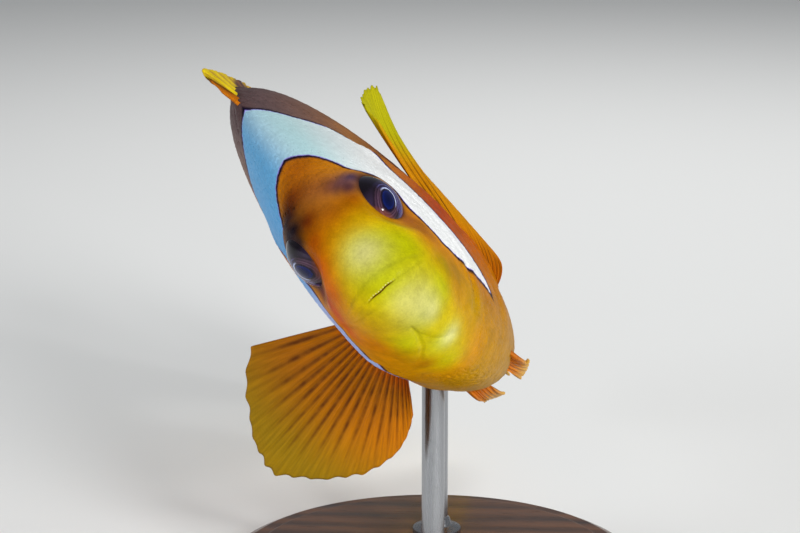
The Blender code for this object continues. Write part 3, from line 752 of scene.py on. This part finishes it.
def store_markings(mesh, points, root_y, angle):
    """The attributes that the skin's materials read."""
    store(mesh, "fish", "FLOAT_VECTOR", points)
    store(mesh, "bar", "FLOAT", bar_depth(root_y, angle))
    store(mesh, "paint", "FLOAT_COLOR", airbrush(points, angle))
    store(mesh, "tint", "FLOAT_COLOR", bar_tint_with_painted_light(points, angle))


# %% Where the scales start, and the skin
SKIN_SIDES, SKIN_RINGS = 280, 340
HEAD_DEPTH, TRUNK_DEPTH = 0.05, 0.10   # the skin lies this far inside the solids under the scales
SCALED_FROM = np.array((
    (-90.0, 18.0), (-50.0, 15.0), (0.0, 15.5), (30.0, 16.0), (55.0, 13.0), (72.0, 10.5), (90.0, 9.5)))


def scaled(y, angle):
    """0 on bare skin, 1 where there are scales."""
    start = read_table(SCALED_FROM, elevation(angle), 1)
    return ramp(y, start - 0.5, start + 1.0)


def make_skin():
    bm = bmesh.new()
    bmesh.ops.create_uvsphere(bm, u_segments=SKIN_SIDES, v_segments=SKIN_RINGS, radius=1.0)
    mesh = mesh_from("skin", bm)
    ball = read_points(mesh)
    share = np.arccos(np.clip(ball[:, 2], -1.0, 1.0)) / np.pi
    along = np.minimum(share * SKIN_RINGS / (SKIN_RINGS - 1.0), 1.0)
    y = BODY_LENGTH * (0.3 * along ** 2 + 0.7 * along ** 4)
    angle = np.arctan2(ball[:, 1], ball[:, 0])
    root_y = np.sqrt(y)
    depth = HEAD_DEPTH + (TRUNK_DEPTH - HEAD_DEPTH) * ramp(y, 28.0, 36.0)
    points = flesh(root_y, angle, -depth * scaled(y, angle))
    points[share > 1.0 - 0.5 / SKIN_RINGS] = (0.0, BODY_LENGTH, STALK_END_Z)
    store_markings(mesh, points, root_y, angle)
    finish_piece("skin", mesh, pose(points), SKIN_MATERIAL,
                 ("head", "lower_jaw", "gill_cover_left", "gill_cover_right", "trunk", "tail_stalk"))


make_skin()

# %% [markdown]
# ## Scales
#
# The scales are thin rounded plates that overlap from the head backwards, each one's rear edge
# free and its front edge tucked under the one before.  A bump map could hint at them, but the
# free edges catch the light on a real fish, so they are solid here.  One plate of ten faces is
# made with operators, and its copies are laid on the skin: the rows run round the body, each row
# starts half a scale off its neighbour, a seeded scatter breaks the pattern a little, and each
# vertex is lifted from the flesh, so a scale bends with the body.  All copies join into one mesh
# for the head and one for the trunk.

# %% One scale, and where the scales sit
def scale_plate():
    """A closed plate 1 wide and 1 long, sunk at the front (-Y), free at the rear."""
    bm = bmesh.new()
    bmesh.ops.create_cone(bm, cap_ends=True, segments=8, radius1=0.5, radius2=0.42, depth=1.0)
    bmesh.ops.recalc_face_normals(bm, faces=bm.faces[:])
    return mesh_from("scale plate", bm)


GIRTH_STEPS = 240                      # places measured on each quarter of the girth

def girth_places(y, pitch, shift):
    """Angles on the left side whose distances along the girth are whole pitches plus shift."""
    places = []
    for direction in (1.0, -1.0):
        angles = np.linspace(0.0, direction * np.pi / 2.0, GIRTH_STEPS)
        ring = body_surface(np.full(GIRTH_STEPS, math.sqrt(y)), angles)
        run = np.concatenate(([0.0], np.cumsum(np.linalg.norm(np.diff(ring, axis=0), axis=1))))
        first = shift if direction > 0.0 else pitch - shift
        places.extend(np.interp(np.arange(first, run[-1], pitch), run, angles))
    return places


def scale_roots(start, end, pitch, row):
    """Root distance along the body and angle of each scale between two places."""
    roots = []
    for number in range(int((end - start) / row) + 1):
        y = start + number * row
        for angle in girth_places(y, pitch, 0.5 * pitch * (number % 2) + 0.01):
            roots.extend(((y, angle), (y, np.pi - angle)))
    return np.array(roots)


def near_eye(points):
    """Distance from the nearer eye's axis."""
    return np.minimum(seen_from_eye(points, 1.0)[1], seen_from_eye(points, -1.0)[1])


# %% Laying the scales
THICKNESS, DOME = 0.038, 0.009          # of a plate, both per mm of its width
PATCH = 0.0030                         # how much of the map one scale takes
BARE_RIM = 4.5                         # no scales this near to an eye's axis (mm)


def keep_scales(roots, from_gills, to_gills):
    """Leave out the bare snout and eye rims, and all but a range of distances behind the gills."""
    points = body_surface(np.sqrt(roots[:, 0]), roots[:, 1])
    start = read_table(SCALED_FROM, elevation(roots[:, 1]), 1)
    behind = behind_gills(points[:, 1], points[:, 2])
    in_range = (behind > from_gills) & (behind < to_gills)
    return roots[(roots[:, 0] > start) & (near_eye(points) > BARE_RIM) & in_range]


def tile_template(template, count):
    """One mesh of count copies of the template, made by repeating its arrays."""
    corners = np.array([corner.vertex_index for corner in template.loops])
    starts = np.array([face.loop_start for face in template.polygons])
    mesh = bpy.data.meshes.new("scales")
    mesh.vertices.add(count * len(template.vertices))
    mesh.loops.add(count * len(corners))
    mesh.polygons.add(count * len(starts))
    shift = np.arange(count)[:, None]
    mesh.loops.foreach_set("vertex_index", (corners + shift * len(template.vertices)).ravel())
    mesh.polygons.foreach_set("loop_start", (starts + shift * len(corners)).ravel())
    mesh.update(calc_edges=True)
    return mesh, np.tile(corners, count)


def lay_scales(name, roots, width, length, tucked, free, scatter, node):
    template = scale_plate()
    chance = np.random.default_rng(7).uniform(-1.0, 1.0, (len(roots), 4))
    roots = roots + scatter * chance[:, 2:] * np.array((length, width / 9.0))
    plate = read_points(template)
    y = np.maximum(roots[:, :1] + plate[:, 1] * length, 0.2)
    here = body_surface(np.sqrt(roots[:, 0]), roots[:, 1])
    nudged = body_surface(np.sqrt(roots[:, 0]), roots[:, 1] + 0.02)
    per_mm = 0.02 / np.maximum(np.linalg.norm(nudged - here, axis=-1), 0.02)
    angle = roots[:, 1:] + plate[:, 0] * width * per_mm[:, None]
    rear = plate[:, 1] + 0.5
    rise = DOME * (1.0 - (2.0 * plate[:, 0]) ** 2) + THICKNESS * (plate[:, 2] - 0.5)
    uneven = chance[:, :1] * rear + chance[:, 1:2] * plate[:, 0]
    lift = tucked + (free - tucked) * rear + width * (rise + 0.012 * uneven)
    root_y, angle = np.sqrt(y).ravel(), angle.ravel()
    points = flesh(root_y, angle, lift.ravel())
    mesh, corners = tile_template(template, len(roots))
    centre = np.stack(((roots[:, 1] / (2.0 * np.pi)) % 1.0, roots[:, 0] / BODY_LENGTH), axis=-1)
    patch = centre[:, None, :] * (1.0 - PATCH) + 0.5 * PATCH + plate[None, :, :2] * PATCH
    uv = mesh.uv_layers.new(name="OFBake")
    each = corners + np.repeat(np.arange(len(roots)), len(corners) // len(roots)) * len(plate)
    uv.data.foreach_set("uv", patch.reshape(-1, 2)[each].astype(np.float32).ravel())
    store_markings(mesh, points, root_y, angle)
    print(name, "is made of", len(roots), "scales")
    finish_piece(name, mesh, pose(points), SCALE_MATERIAL, (node,))


head_roots = keep_scales(scale_roots(9.6, 34.0, 0.62, 0.50), -40.0, -0.30)
trunk_roots = keep_scales(scale_roots(29.0, 103.0, 1.50, 0.86), 1.15, 80.0)
lay_scales("head_scales", head_roots, 0.88, 0.98, -0.06, 0.0, 0.15, "head")
lay_scales("trunk_scales", trunk_roots, 1.60, 1.95, -0.14, 0.02, 0.08, "trunk")

# %% [markdown]
# ## Eyes
#
# A fish's eye has no lids: a slightly flattened ball sits deep in the socket, and a big round
# pupil looks a little forwards.  The ball is a UV sphere.  It stores each point's place relative
# to the pupil, and the material draws rings from the distance, so the pupil's edge and the pale
# arc behind it, a painted reflection, stay sharp however coarse the mesh is.  A clear coat stands
# for the cornea.

# %% Eye material
PUPIL_PLACE = (-1.10, -0.82)          # how far back and up from the ball's axis (mm)
PUPIL_LEAN = 0.32                     # the pupil's top leans back
PUPIL_SCALE = 0.77                    # shrinks all the rings below
RINGS_TO = 4.0                        # the radius at the colour ramps' end
PUPIL_RINGS = ((0.0, (3, 8, 42)), (0.9, (5, 13, 60)), (1.28, (9, 23, 82)), (1.36, (14, 10, 34)))
FRONT_RINGS = (
    (1.62, (30, 18, 34)), (1.80, (74, 50, 64)), (1.98, (42, 25, 40)), (2.16, (84, 60, 78)),
    (2.34, (38, 22, 36)), (2.62, (64, 44, 60)), (2.84, (30, 18, 30)), (3.3, (44, 32, 52)))
# the pale blue-white arc at 1.78 to 1.92 on the rear side is a painted reflection
REAR_RINGS_WITH_REFLECTION = (
    (1.64, (26, 22, 60)), (1.78, (204, 214, 240)), (1.92, (150, 160, 210)), (2.02, (40, 30, 74)),
    (2.34, (30, 20, 56)), (2.56, (112, 104, 168)), (2.70, (34, 22, 62)), (3.2, (70, 60, 110)))

def iris(tree, distance, rings):
    stops = [(PUPIL_SCALE * radius / RINGS_TO, shade, 1.0) for radius, shade in PUPIL_RINGS + rings]
    return colour_ramp(tree, map_range(tree, distance, 0.0, RINGS_TO), stops).outputs["Color"]

def eye_material():
    mat, tree, shader = new_material("fish eye", {
        "Roughness": 0.14, "Specular IOR Level": 0.05,
        "Coat Weight": 0.6, "Coat IOR": 1.36, "Coat Roughness": 0.03})
    parts = add_node(tree, "ShaderNodeSeparateXYZ", {"Vector": attribute(tree, "gaze", "Vector")})
    back, up = parts.outputs["Y"], parts.outputs["Z"]
    flat = add_node(tree, "ShaderNodeCombineXYZ", {"Y": back, "Z": up}).outputs[0]
    length = add_node(tree, "ShaderNodeVectorMath", {0: flat}, operation="LENGTH").outputs["Value"]
    fibres = noise(tree, flat, 2.6, 6.0, 0.7)
    distance = plus(tree, length, map_range(tree, fibres, 0.3, 0.7, -0.05, 0.05))
    # rear: the side of the iris with the painted reflection
    rear = map_range(tree, plus(tree, back, times(tree, up, 0.45)), 0.1, 0.9)
    shade = mix(tree, rear, iris(tree, distance, FRONT_RINGS), iris(tree, distance, REAR_RINGS_WITH_REFLECTION))
    low = map_range(tree, minus(tree, times(tree, up, -1.0), back), 1.6, 2.7)
    shade = mix(tree, times(tree, low, 0.65), shade, colour(150, 78, 34))
    high = map_range(tree, up, 1.0, 2.6)
    shade = mix(tree, times(tree, high, 0.95), shade, colour(10, 6, 12))
    tree.links.new(shade, shader.inputs["Base Color"])
    add_bump(tree, shader, fibres, 0.15, 0.04)
    return mat

# %% The two balls
def make_eye(name, side, mat):
    bm = bmesh.new()
    bmesh.ops.create_uvsphere(bm, u_segments=72, v_segments=54, radius=1.0)
    bmesh.ops.rotate(bm, verts=bm.verts[:], cent=(0.0, 0.0, 0.0),
                     matrix=Matrix.Rotation(math.pi / 2.0, 3, "Y"))
    mesh = mesh_from(name, bm)
    local = read_points(mesh) * np.array(EYE_RADII)
    seen = local * np.array((side, 1.0, 1.0)) - np.array((0.0, *PUPIL_PLACE))
    seen[:, 1] -= PUPIL_LEAN * seen[:, 2]
    lens = ridge(np.hypot(seen[:, 1], seen[:, 2]), 1.5) * (seen[:, 0] > 0.0)
    local = local * (1.0 + 0.045 * lens)[:, None]
    store(mesh, "gaze", "FLOAT_VECTOR", seen)
    points = local @ eye_frame(side) + np.array((side, 1.0, 1.0)) * np.array(EYE_CENTRE)
    finish_piece(name, mesh, pose(points), mat, (name.replace("ball", ""),))


EYE_MATERIAL = eye_material()
make_eye("eyeball_left", 1.0, EYE_MATERIAL)
make_eye("eyeball_right", -1.0, EYE_MATERIAL)

# %% [markdown]
# ## Fins
#
# A fish's fin is a thin membrane on a fan of bony rays.  The rays stand out as ribs on both
# faces, split towards the edge, and the membrane falls back between their tips.  Cloth would hang
# without ribs, so each fin is a solidified grid instead.  One direction of the grid crosses the
# rays and the other follows them, so its thickness can swell at each ray.  The fin's path is the
# one that the plain solids follow.

# %% A closed sheet with rays
def table_of(rows):
    """Number the rows from 0 to 1, so that the table can be read along the fin."""
    rows = np.array(rows, float)
    return np.hstack((np.linspace(0.0, 1.0, len(rows))[:, None], rows))


def fin_sheet(name, columns, rows):
    """A closed sheet: u crosses the rays, v follows them to the edge, face is -1 or 1."""
    bm = bmesh.new()
    bmesh.ops.create_grid(bm, x_segments=columns, y_segments=rows, size=0.5)
    bmesh.ops.solidify(bm, geom=bm.faces[:], thickness=0.1)
    bmesh.ops.recalc_face_normals(bm, faces=bm.faces[:])
    mesh = mesh_from(name, bm)
    flat = read_points(mesh)
    face = np.where(flat[:, 2] > flat[:, 2].mean(), 1.0, -1.0)
    return mesh, flat[:, 0] + 0.5, flat[:, 1] + 0.5, face


def ray_pattern(phase, v, split_from):
    """How far each place is from its ray, in ray spacings, once the ray has split."""
    across = phase - np.round(phase)
    apart = 0.21 * ramp(v, split_from, 1.0)
    first = np.abs(np.abs(across) - apart)
    second = np.abs(first - 0.09 * ramp(v, 0.5 * (1.0 + split_from), 1.05))
    return second, across


def fin_surface(path, u, v):
    """Points of the fin's middle surface, and its unit normals."""
    here = path(u, v)
    step_u = path(np.minimum(u + 1e-3, 1.0), v) - path(np.maximum(u - 1e-3, 0.0), v)
    step_v = path(u, np.minimum(v + 1e-3, 1.0)) - path(u, np.maximum(v - 1e-3, 0.0))
    normal = np.cross(step_u, step_v)
    return here, normal / np.maximum(np.linalg.norm(normal, axis=-1, keepdims=True), 1e-9)


def make_fin(name, path, phase_of, columns, rows, paint, node, mat,
             ribs=(0.34, 0.12), membrane=0.07, notch=0.025, split_from=0.45, sheath=0.0):
    mesh, u, v, face = fin_sheet(name, columns, rows)
    phase = phase_of(u)
    off, across = ray_pattern(phase, v, split_from)
    notch_here = notch(u) if callable(notch) else notch
    uneven = 0.35 * np.sin(2.39 * phase + 1.0) + 0.25 * np.sin(5.1 * phase)
    reach = 1.0 - notch_here * (1.0 - ridge(across, 0.26) + uneven) * ramp(v, 0.3, 1.0)
    middle, normal = fin_surface(path, u, v * reach)
    height = np.linalg.norm(middle - path(u, np.zeros(len(u))), axis=-1)
    rib = (ribs[0] + (ribs[1] - ribs[0]) * np.sqrt(v)) * ridge(off, 0.17)
    half = membrane + rib + sheath * (1.0 - (2.0 * u - 1.0) ** 6) * np.exp(-(height / 3.4) ** 2)
    half *= 1.0 - 0.6 * ramp(v, 0.97, 1.0)
    points = middle + normal * (face * half)[:, None]
    store(mesh, "fish", "FLOAT_VECTOR", points)
    store(mesh, "ray", "FLOAT_VECTOR", np.stack((phase, v * 10.0, off), axis=-1))
    store(mesh, "paint", "FLOAT_COLOR", paint(u, v, face, height))
    finish_piece(name, mesh, pose(points), mat, (node,))


# %% Fin material
def fin_material(name, valley, valley_share):
    """The stored paint, darker between the rays, with streaks and joints along them."""
    mat, tree, shader = new_material(name, {
        "Roughness": 0.42, "Coat Weight": 0.04, "Coat Roughness": 0.25, "Specular IOR Level": 0.08})
    place = attribute(tree, "fish", "Vector")
    ray = attribute(tree, "ray", "Vector")
    parts = add_node(tree, "ShaderNodeSeparateXYZ", {"Vector": ray})
    long = add_node(tree, "ShaderNodeVectorMath", {0: ray, 1: (5.0, 0.35, 0.0)},
                    operation="MULTIPLY").outputs[0]
    streaks = map_range(tree, noise(tree, long, 1.0, 5.0, 0.65), 0.3, 0.7, 0.74, 1.16)
    coat = dimmed(tree, attribute(tree, "paint", "Color"), streaks)
    blotch = map_range(tree, noise(tree, place, 0.5), 0.35, 0.65, 0.55, 1.0)
    between = times(tree, map_range(tree, parts.outputs["Z"], 0.20, 0.42), blotch)
    shade = mix(tree, times(tree, between, valley_share), coat, colour(*valley))
    tree.links.new(shade, shader.inputs["Base Color"])
    joints = add_node(tree, "ShaderNodeTexWave", {"Vector": ray, "Scale": 1.6, "Distortion": 0.6},
                      bands_direction="Y").outputs["Fac"]
    add_bump(tree, shader, plus(tree, times(tree, joints, 0.4), noise(tree, long, 2.0)), 0.4, 0.06)
    return mat

AMBER_FIN = fin_material("amber fin", (82, 36, 0), 0.9)
YELLOW_FIN = fin_material("yellow fin", (150, 84, 6), 0.6)


def blend_colours(first, second, share):
    """Blend two picked colours by a share for each point."""
    return painted(np.array(colour(*first)), colour(*second), share)

def graded(near, far, low, high, root=None, root_to=None):
    """Fin paint from near to far between two heights, perhaps with another colour at the root."""
    def paint(u, v, face, height):
        shade = blend_colours(near, far, ramp(height, low, high))
        if root:
            shade = painted(shade, colour(*root), 0.8 * (1.0 - ramp(height, 1.0, root_to)))
        return shade
    return paint

# %% Dorsal and anal fins
FIN_ROOT = 1.2
DORSAL = table_of((
    (32.5, 34.0, 31.8), (35.0, 37.2, 36.0), (40.0, 43.6, 35.4), (48.0, 53.0, 34.2), (57.0, 63.0, 33.8),
    (63.0, 70.5, 33.6), (70.0, 81.0, 33.6), (77.0, 90.5, 31.4), (81.5, 95.4, 27.4), (85.5, 96.8, 22.4),
    (88.5, 95.0, 17.8)))
DORSAL_LEANS = (-0.15, -0.03, 0.11, 0.09, 0.05, 0.0)   # sideways per height, from front to rear
ANAL = table_of((
    (66.0, 68.6, -18.8), (69.5, 75.0, -20.4), (75.5, 85.5, -20.9), (81.0, 92.6, -19.5),
    (85.5, 95.0, -16.6), (88.5, 94.6, -13.6)))
SPINES_TO = 0.54                      # the share of the dorsal fin that has spines


def median_path(table, edge_column, lean):
    """The path of a fin on the back or the keel."""
    def path(u, v):
        root_y = read_table(table, u, 1)
        edge = outline(np.sqrt(root_y), edge_column)
        root_z = edge - FIN_ROOT * np.sign(edge)
        y = root_y + (read_table(table, u, 2) - root_y) * v
        z = root_z + (read_table(table, u, 3) - root_z) * v
        return np.stack((lean(u) * (z - root_z) * v, y, z), axis=-1)
    return path


def dorsal_lean(u):
    return np.interp(u, (0.08, 0.20, 0.34, 0.50, 0.75, 1.0), DORSAL_LEANS)


def dorsal_colour_and_shade(u, v, face, height):
    """Yellow behind an orange first strip, brown near the back; the right face is more orange, a painted
    shade.
    """
    # painted shade: the right face (face < 0) is 0.45 more orange
    share = np.clip(0.9 * ramp(u, 0.1, 0.9) + 0.45 * (face < 0.0), 0.0, 1.0)
    shade = blend_colours((214, 186, 8), (200, 106, 8), share)
    brown_to = 0.2 + 5.8 * ramp(u, 0.20, 0.34) - 3.6 * ramp(u, 0.50, 0.75)
    base = 1.0 - ramp(height + 0.3 * np.sin(u * 47.0), brown_to, brown_to + 2.2)
    shade = painted(shade, blend_colours((92, 56, 36), (86, 62, 58), ramp(u, 0.0, 0.5)), base)
    strip_to = 0.05 + 0.05 * (1.0 - ramp(height, 0.0, 4.0))
    strip = (1.0 - ramp(u, strip_to, strip_to + 0.012)) * ramp(height, 0.1, 1.6)
    shade = painted(shade, colour(176, 98, 10), strip)
    return painted(shade, colour(54, 24, 8), 0.85 * ridge(u - strip_to - 0.006, 0.012))

make_fin("dorsal_membrane", median_path(DORSAL, 1, dorsal_lean),
         lambda u: np.interp(u, (0.0, SPINES_TO, 1.0), (0.0, 9.0, 25.0)), 300, 34, dorsal_colour_and_shade,
         "dorsal_fin", YELLOW_FIN, ribs=(0.30, 0.14), sheath=0.45,
         notch=lambda u: 0.01 + 0.05 * ramp(u, 0.30, 0.45) - 0.03 * ramp(u, 0.46, 0.59), split_from=0.9)
make_fin("anal_membrane", median_path(ANAL, 2, lambda u: 0.0), lambda u: u * 15.0, 160, 30,
         graded((196, 100, 8), (226, 166, 8), 1.5, 7.0), "anal_fin", YELLOW_FIN,
         ribs=(0.32, 0.14), sheath=0.5)

# %% Tail fin
TAIL = table_of((
    (8.6, 112.0, 13.6), (8.1, 121.5, 18.6), (7.0, 127.4, 19.2), (4.4, 125.6, 9.8), (1.4, 123.6, 1.4),
    (-1.6, 125.6, -7.0), (-4.4, 127.4, -16.4), (-5.4, 121.5, -15.8), (-6.0, 112.0, -10.9)))
TAIL_ROOT_Y = 102.6                    # inside the tail stalk


def tail_path(u, v):
    root_z = read_table(TAIL, u, 1)
    y = TAIL_ROOT_Y + (read_table(TAIL, u, 2) - TAIL_ROOT_Y) * v
    z = root_z + (read_table(TAIL, u, 3) - root_z) * (0.35 * v + 0.65 * v * v)
    return np.stack((np.zeros(len(u)), y, z), axis=-1)


def tail_paint(u, v, face, height):
    shade = blend_colours((204, 122, 10), (232, 194, 30), ramp(height, 2.0, 14.0))
    return painted(shade, colour(196, 104, 8), 0.5 * ramp(np.abs(u - 0.5), 0.40, 0.5))

make_fin("tail_membrane", tail_path, lambda u: u * 18.0, 216, 46, tail_paint,
         "tail_fin", YELLOW_FIN, ribs=(0.55, 0.12), sheath=0.75, split_from=0.3)

# %% Pectoral fins
PECTORAL = table_of((
    (-0.6, 14.6, 25.0), (-1.7, 19.6, 8.5), (-2.8, 23.0, -1.5), (-4.0, 24.2, -8.0), (-5.2, 21.2, -16.0),
    (-6.4, 17.4, -26.0), (-7.5, 13.0, -37.0), (-8.6, 8.5, -45.0), (-9.4, 4.4, -50.0)))
PECTORAL_BASE, PECTORAL_BASE_SLOPE = (7.6, 35.4), -0.12
RIGHT_SWEEP, RIGHT_EXTRA, RIGHT_BOW = 27.0, 1.8, 1.2
LEFT_TOP_ANGLE, LEFT_CLOSING, LEFT_STRETCH = 91.0, 0.47, 1.05
LEFT_STEM, LEFT_TURN_AT = (2.2, 0.8, 0.0), 0.25
LEFT_ELBOWS = (-0.6, 1.4)             # how far out the long rays turn, and the low ones
LEFT_BEND, LEFT_LOW_BEND = 2.6, 0.6   # the tips bend outwards: the longest rays, and the lowest
LEFT_FLARE = 0.85                     # the longest rays spread this far to both sides at the tip
TRIMMED = (0.0, 0.06, 0.125, 0.19, 0.25, 0.31, 0.375, 0.44, 0.50, 0.60)   # rays that form the flat tip
TRIM_OUT = (-0.5, -0.55, -0.25, -0.15, -0.1, 0.0, 0.25, 0.1, 0.0, 0.0)
TRIM_UP = (1.6, 2.5, 1.2, 0.2, -0.45, -0.75, -0.75, 0.5, 1.2, 0.0)


def pectoral_root(u, side):
    root_z = read_table(PECTORAL, u, 1)
    return np.stack((np.full(len(u), side * PECTORAL_BASE[0]),
                     PECTORAL_BASE[1] + PECTORAL_BASE_SLOPE * root_z, root_z), axis=-1)


def arc(base, knee, tip, v):
    v = v[:, None]
    return base * (1.0 - v) ** 2 + 2.0 * knee * v * (1.0 - v) + tip * v * v


def right_pectoral_path(u, v):
    """The right fin fans out sideways, as an open hand."""
    base, angle = pectoral_root(u, -1.0), np.radians(read_table(PECTORAL, u, 3))[:, None]
    sweep = math.radians(RIGHT_SWEEP)
    out = np.array((-math.cos(sweep), math.sin(sweep), 0.0))
    length = (read_table(PECTORAL, u, 2) + RIGHT_EXTRA)[:, None]
    tip = base + (out * np.cos(angle) + np.array((0.0, 0.0, 1.0)) * np.sin(angle)) * length
    return arc(base, 0.5 * (base + tip) + np.array((0.0, RIGHT_BOW, 0.0)), tip, v)


def left_pectoral_path(u, v):
    """The left fin is nearly closed and points up beside the back."""
    base = pectoral_root(u, 1.0)
    opened = (25.0 - read_table(PECTORAL, u, 3)) * LEFT_CLOSING
    angle = np.radians(LEFT_TOP_ANGLE - opened)
    away = np.stack((np.full(len(u), 0.01), np.cos(angle), np.sin(angle)), axis=-1)
    root = base + np.array(LEFT_STEM)
    length = (read_table(PECTORAL, u, 2) * LEFT_STRETCH)[:, None]
    knee = root + away * length * LEFT_TURN_AT
    knee[:, 0] += LEFT_ELBOWS[0] + (LEFT_ELBOWS[1] - LEFT_ELBOWS[0]) * ramp(u, 0.30, 0.50)
    points = arc(base, knee, root + away * length, v)
    low = ramp(u, 0.42, 0.60)
    outwards = LEFT_BEND * (1.0 - low) + LEFT_LOW_BEND * low
    outwards += LEFT_FLARE * (2.0 * ramp(u, 0.08, 0.40) - 1.0) * (1.0 - low)
    points[:, 0] += (outwards + np.interp(u, TRIMMED, TRIM_OUT)) * v ** 6
    points[:, 2] += np.interp(u, TRIMMED, TRIM_UP) * v ** 6
    return points


make_fin("right_pectoral", right_pectoral_path, lambda u: u * 18.0, 234, 64,
         graded((176, 102, 2), (136, 104, 6), 10.0, 23.0, (196, 78, 2), 5.5),
         "pectoral_fin_right", AMBER_FIN, notch=0.015)
make_fin("left_pectoral", left_pectoral_path, lambda u: u * 18.0, 234, 64,
         graded((188, 124, 6), (168, 162, 14), 13.0, 20.0, (190, 98, 8), 9.0),
         "pectoral_fin_left", AMBER_FIN, notch=0.008)

# %% Pelvic fins
PELVIC = table_of((
    (3.5, 35.0, 3.6, 50.0, -19.2), (3.0, 36.0, 3.6, 57.5, -19.8), (2.3, 37.0, 2.6, 58.0, -20.5),
    (1.3, 38.2, 1.3, 51.0, -20.6)))
PELVIC_ROOT_Z, PELVIC_KNEE = -15.6, (0.4, 4.5, -20.0)


def pelvic_path_of(side):
    def path(u, v):
        base_x, base_y, tip_x, tip_y, tip_z = (read_table(PELVIC, u, column) for column in range(1, 6))
        base = np.stack((side * base_x, base_y, np.full(len(u), PELVIC_ROOT_Z)), axis=-1)
        knee = np.stack((side * (base_x + PELVIC_KNEE[0]), base_y + PELVIC_KNEE[1],
                         np.full(len(u), PELVIC_KNEE[2])), axis=-1)
        return arc(base, knee, np.stack((side * tip_x, tip_y, tip_z), axis=-1), v)
    return path


for side_name, side in (("left", 1.0), ("right", -1.0)):
    make_fin(side_name + "_pelvic", pelvic_path_of(side), lambda u: u * 6.0, 84, 56,
             graded((206, 112, 6), (226, 168, 10), 3.0, 14.0), "pelvic_fin_" + side_name,
             YELLOW_FIN, ribs=(0.36, 0.14), notch=0.06)

# %% [markdown]
# ## The stand
#
# Museum models stand on turned wood with steel rods.  On a lathe the shape is one profile, and
# `spin` is the lathe here: the profile's corners are bevelled first, as sandpaper would, and then
# it turns through a full circle.  The walnut's grain is stretched noise over wavy growth rings,
# and the rods carry fine lengthwise brushing.

# %% Wood and steel
def stretched(tree, scale):
    """The piece's own coordinates, scaled along each axis."""
    place = add_node(tree, "ShaderNodeTexCoord", {}).outputs["Object"]
    return add_node(tree, "ShaderNodeMapping", {"Vector": place, "Scale": scale}).outputs[0]

def walnut():
    mat, tree, shader = new_material("walnut", {"Coat Weight": 0.35, "Coat Roughness": 0.18})
    grain = add_node(tree, "ShaderNodeTexNoise", {
        "Vector": stretched(tree, (40.0, 420.0, 420.0)), "Scale": 1.0, "Detail": 8.0,
        "Roughness": 0.62, "Distortion": 0.7}).outputs["Fac"]
    rings = add_node(tree, "ShaderNodeTexWave", {
        "Vector": stretched(tree, (0.22, 1.0, 1.0)), "Scale": 60.0, "Distortion": 14.0,
        "Detail": 4.0, "Detail Scale": 0.45}, bands_direction="Y").outputs["Fac"]
    both = plus(tree, times(tree, rings, 0.35), times(tree, grain, 0.8))
    brown = mix(tree, map_range(tree, both, 0.25, 0.95), colour(44, 26, 17), colour(116, 76, 48))
    fine = noise(tree, stretched(tree, (260.0, 3400.0, 3400.0)), 1.0, 2.0)
    pores = map_range(tree, fine, 0.60, 0.72)
    shade = mix(tree, times(tree, pores, 0.6), brown, colour(24, 14, 10))
    tree.links.new(shade, shader.inputs["Base Color"])
    add_bump(tree, shader, minus(tree, both, pores), 0.25, 0.15)
    tree.links.new(map_range(tree, grain, 0.3, 0.7, 0.30, 0.42), shader.inputs["Roughness"])
    return mat

def brushed_steel():
    mat, tree, shader = new_material("brushed steel", {"Metallic": 1.0})
    lines = noise(tree, stretched(tree, (5200.0, 5200.0, 90.0)), 1.0, 4.0)
    shade = mix(tree, lines, colour(150, 152, 156), colour(196, 197, 200))
    tree.links.new(shade, shader.inputs["Base Color"])
    tree.links.new(map_range(tree, lines, 0.3, 0.7, 0.20, 0.38), shader.inputs["Roughness"])
    add_bump(tree, shader, lines, 0.2, 0.02)
    return mat

# %% The lathe
def turned(name, profile, centre, rounding, steps):
    """Spin a profile of (radius, height) in mm round an upright axis."""
    bm = bmesh.new()
    corners = [bm.verts.new((radius, 0.0, height)) for radius, height in profile]
    edges = [bm.edges.new(pair) for pair in zip(corners[:-1], corners[1:])]
    bmesh.ops.bevel(bm, geom=corners[1:-1], offset=rounding, affect="VERTICES", segments=3,
                    profile=0.5, material=-1)
    bmesh.ops.spin(bm, geom=bm.verts[:] + bm.edges[:], cent=(0.0, 0.0, 0.0), axis=(0.0, 0.0, 1.0),
                   angle=2.0 * math.pi, steps=steps, use_merge=True)
    bmesh.ops.remove_doubles(bm, verts=bm.verts[:], dist=0.001)
    bmesh.ops.recalc_face_normals(bm, faces=bm.faces[:])
    bmesh.ops.scale(bm, vec=(MM, MM, MM), verts=bm.verts[:])
    bmesh.ops.translate(bm, vec=centre, verts=bm.verts[:])
    print(name, "profile:", len(edges), "edges")
    return mesh_from(name, bm)


BASE_PROFILE = ((0.0, 0.0), (28.3, 0.0), (29.0, 0.7), (29.0, 2.5), (28.2, 3.1), (28.2, 3.6),
                (28.7, 4.1), (28.0, 5.7), (26.2, 6.6), (24.4, 6.6), (24.0, 7.0), (0.0, 7.0))
base = turned("base", BASE_PROFILE, (0.0, 0.0, 0.0), 0.18, 144)
finish_piece("base", base, read_points(base), walnut(), ("stand_base",))

STEEL = brushed_steel()
for end in ("front", "rear"):
    low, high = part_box("stand_rod_" + end)
    centre = (0.5 * (low[0] + high[0]), 0.5 * (low[1] + high[1]), 0.0)
    top = high[2] / MM
    rod = turned("rod_" + end, ((0.0, 6.8), (3.3, 6.8), (3.3, 7.6), (2.1, 8.1), (1.8, 8.9), (1.5, 9.2),
                                (1.5, top), (0.0, top)), centre, 0.12, 48)
    finish_piece("rod_" + end, rod, read_points(rod), STEEL, ("stand_rod_" + end,))
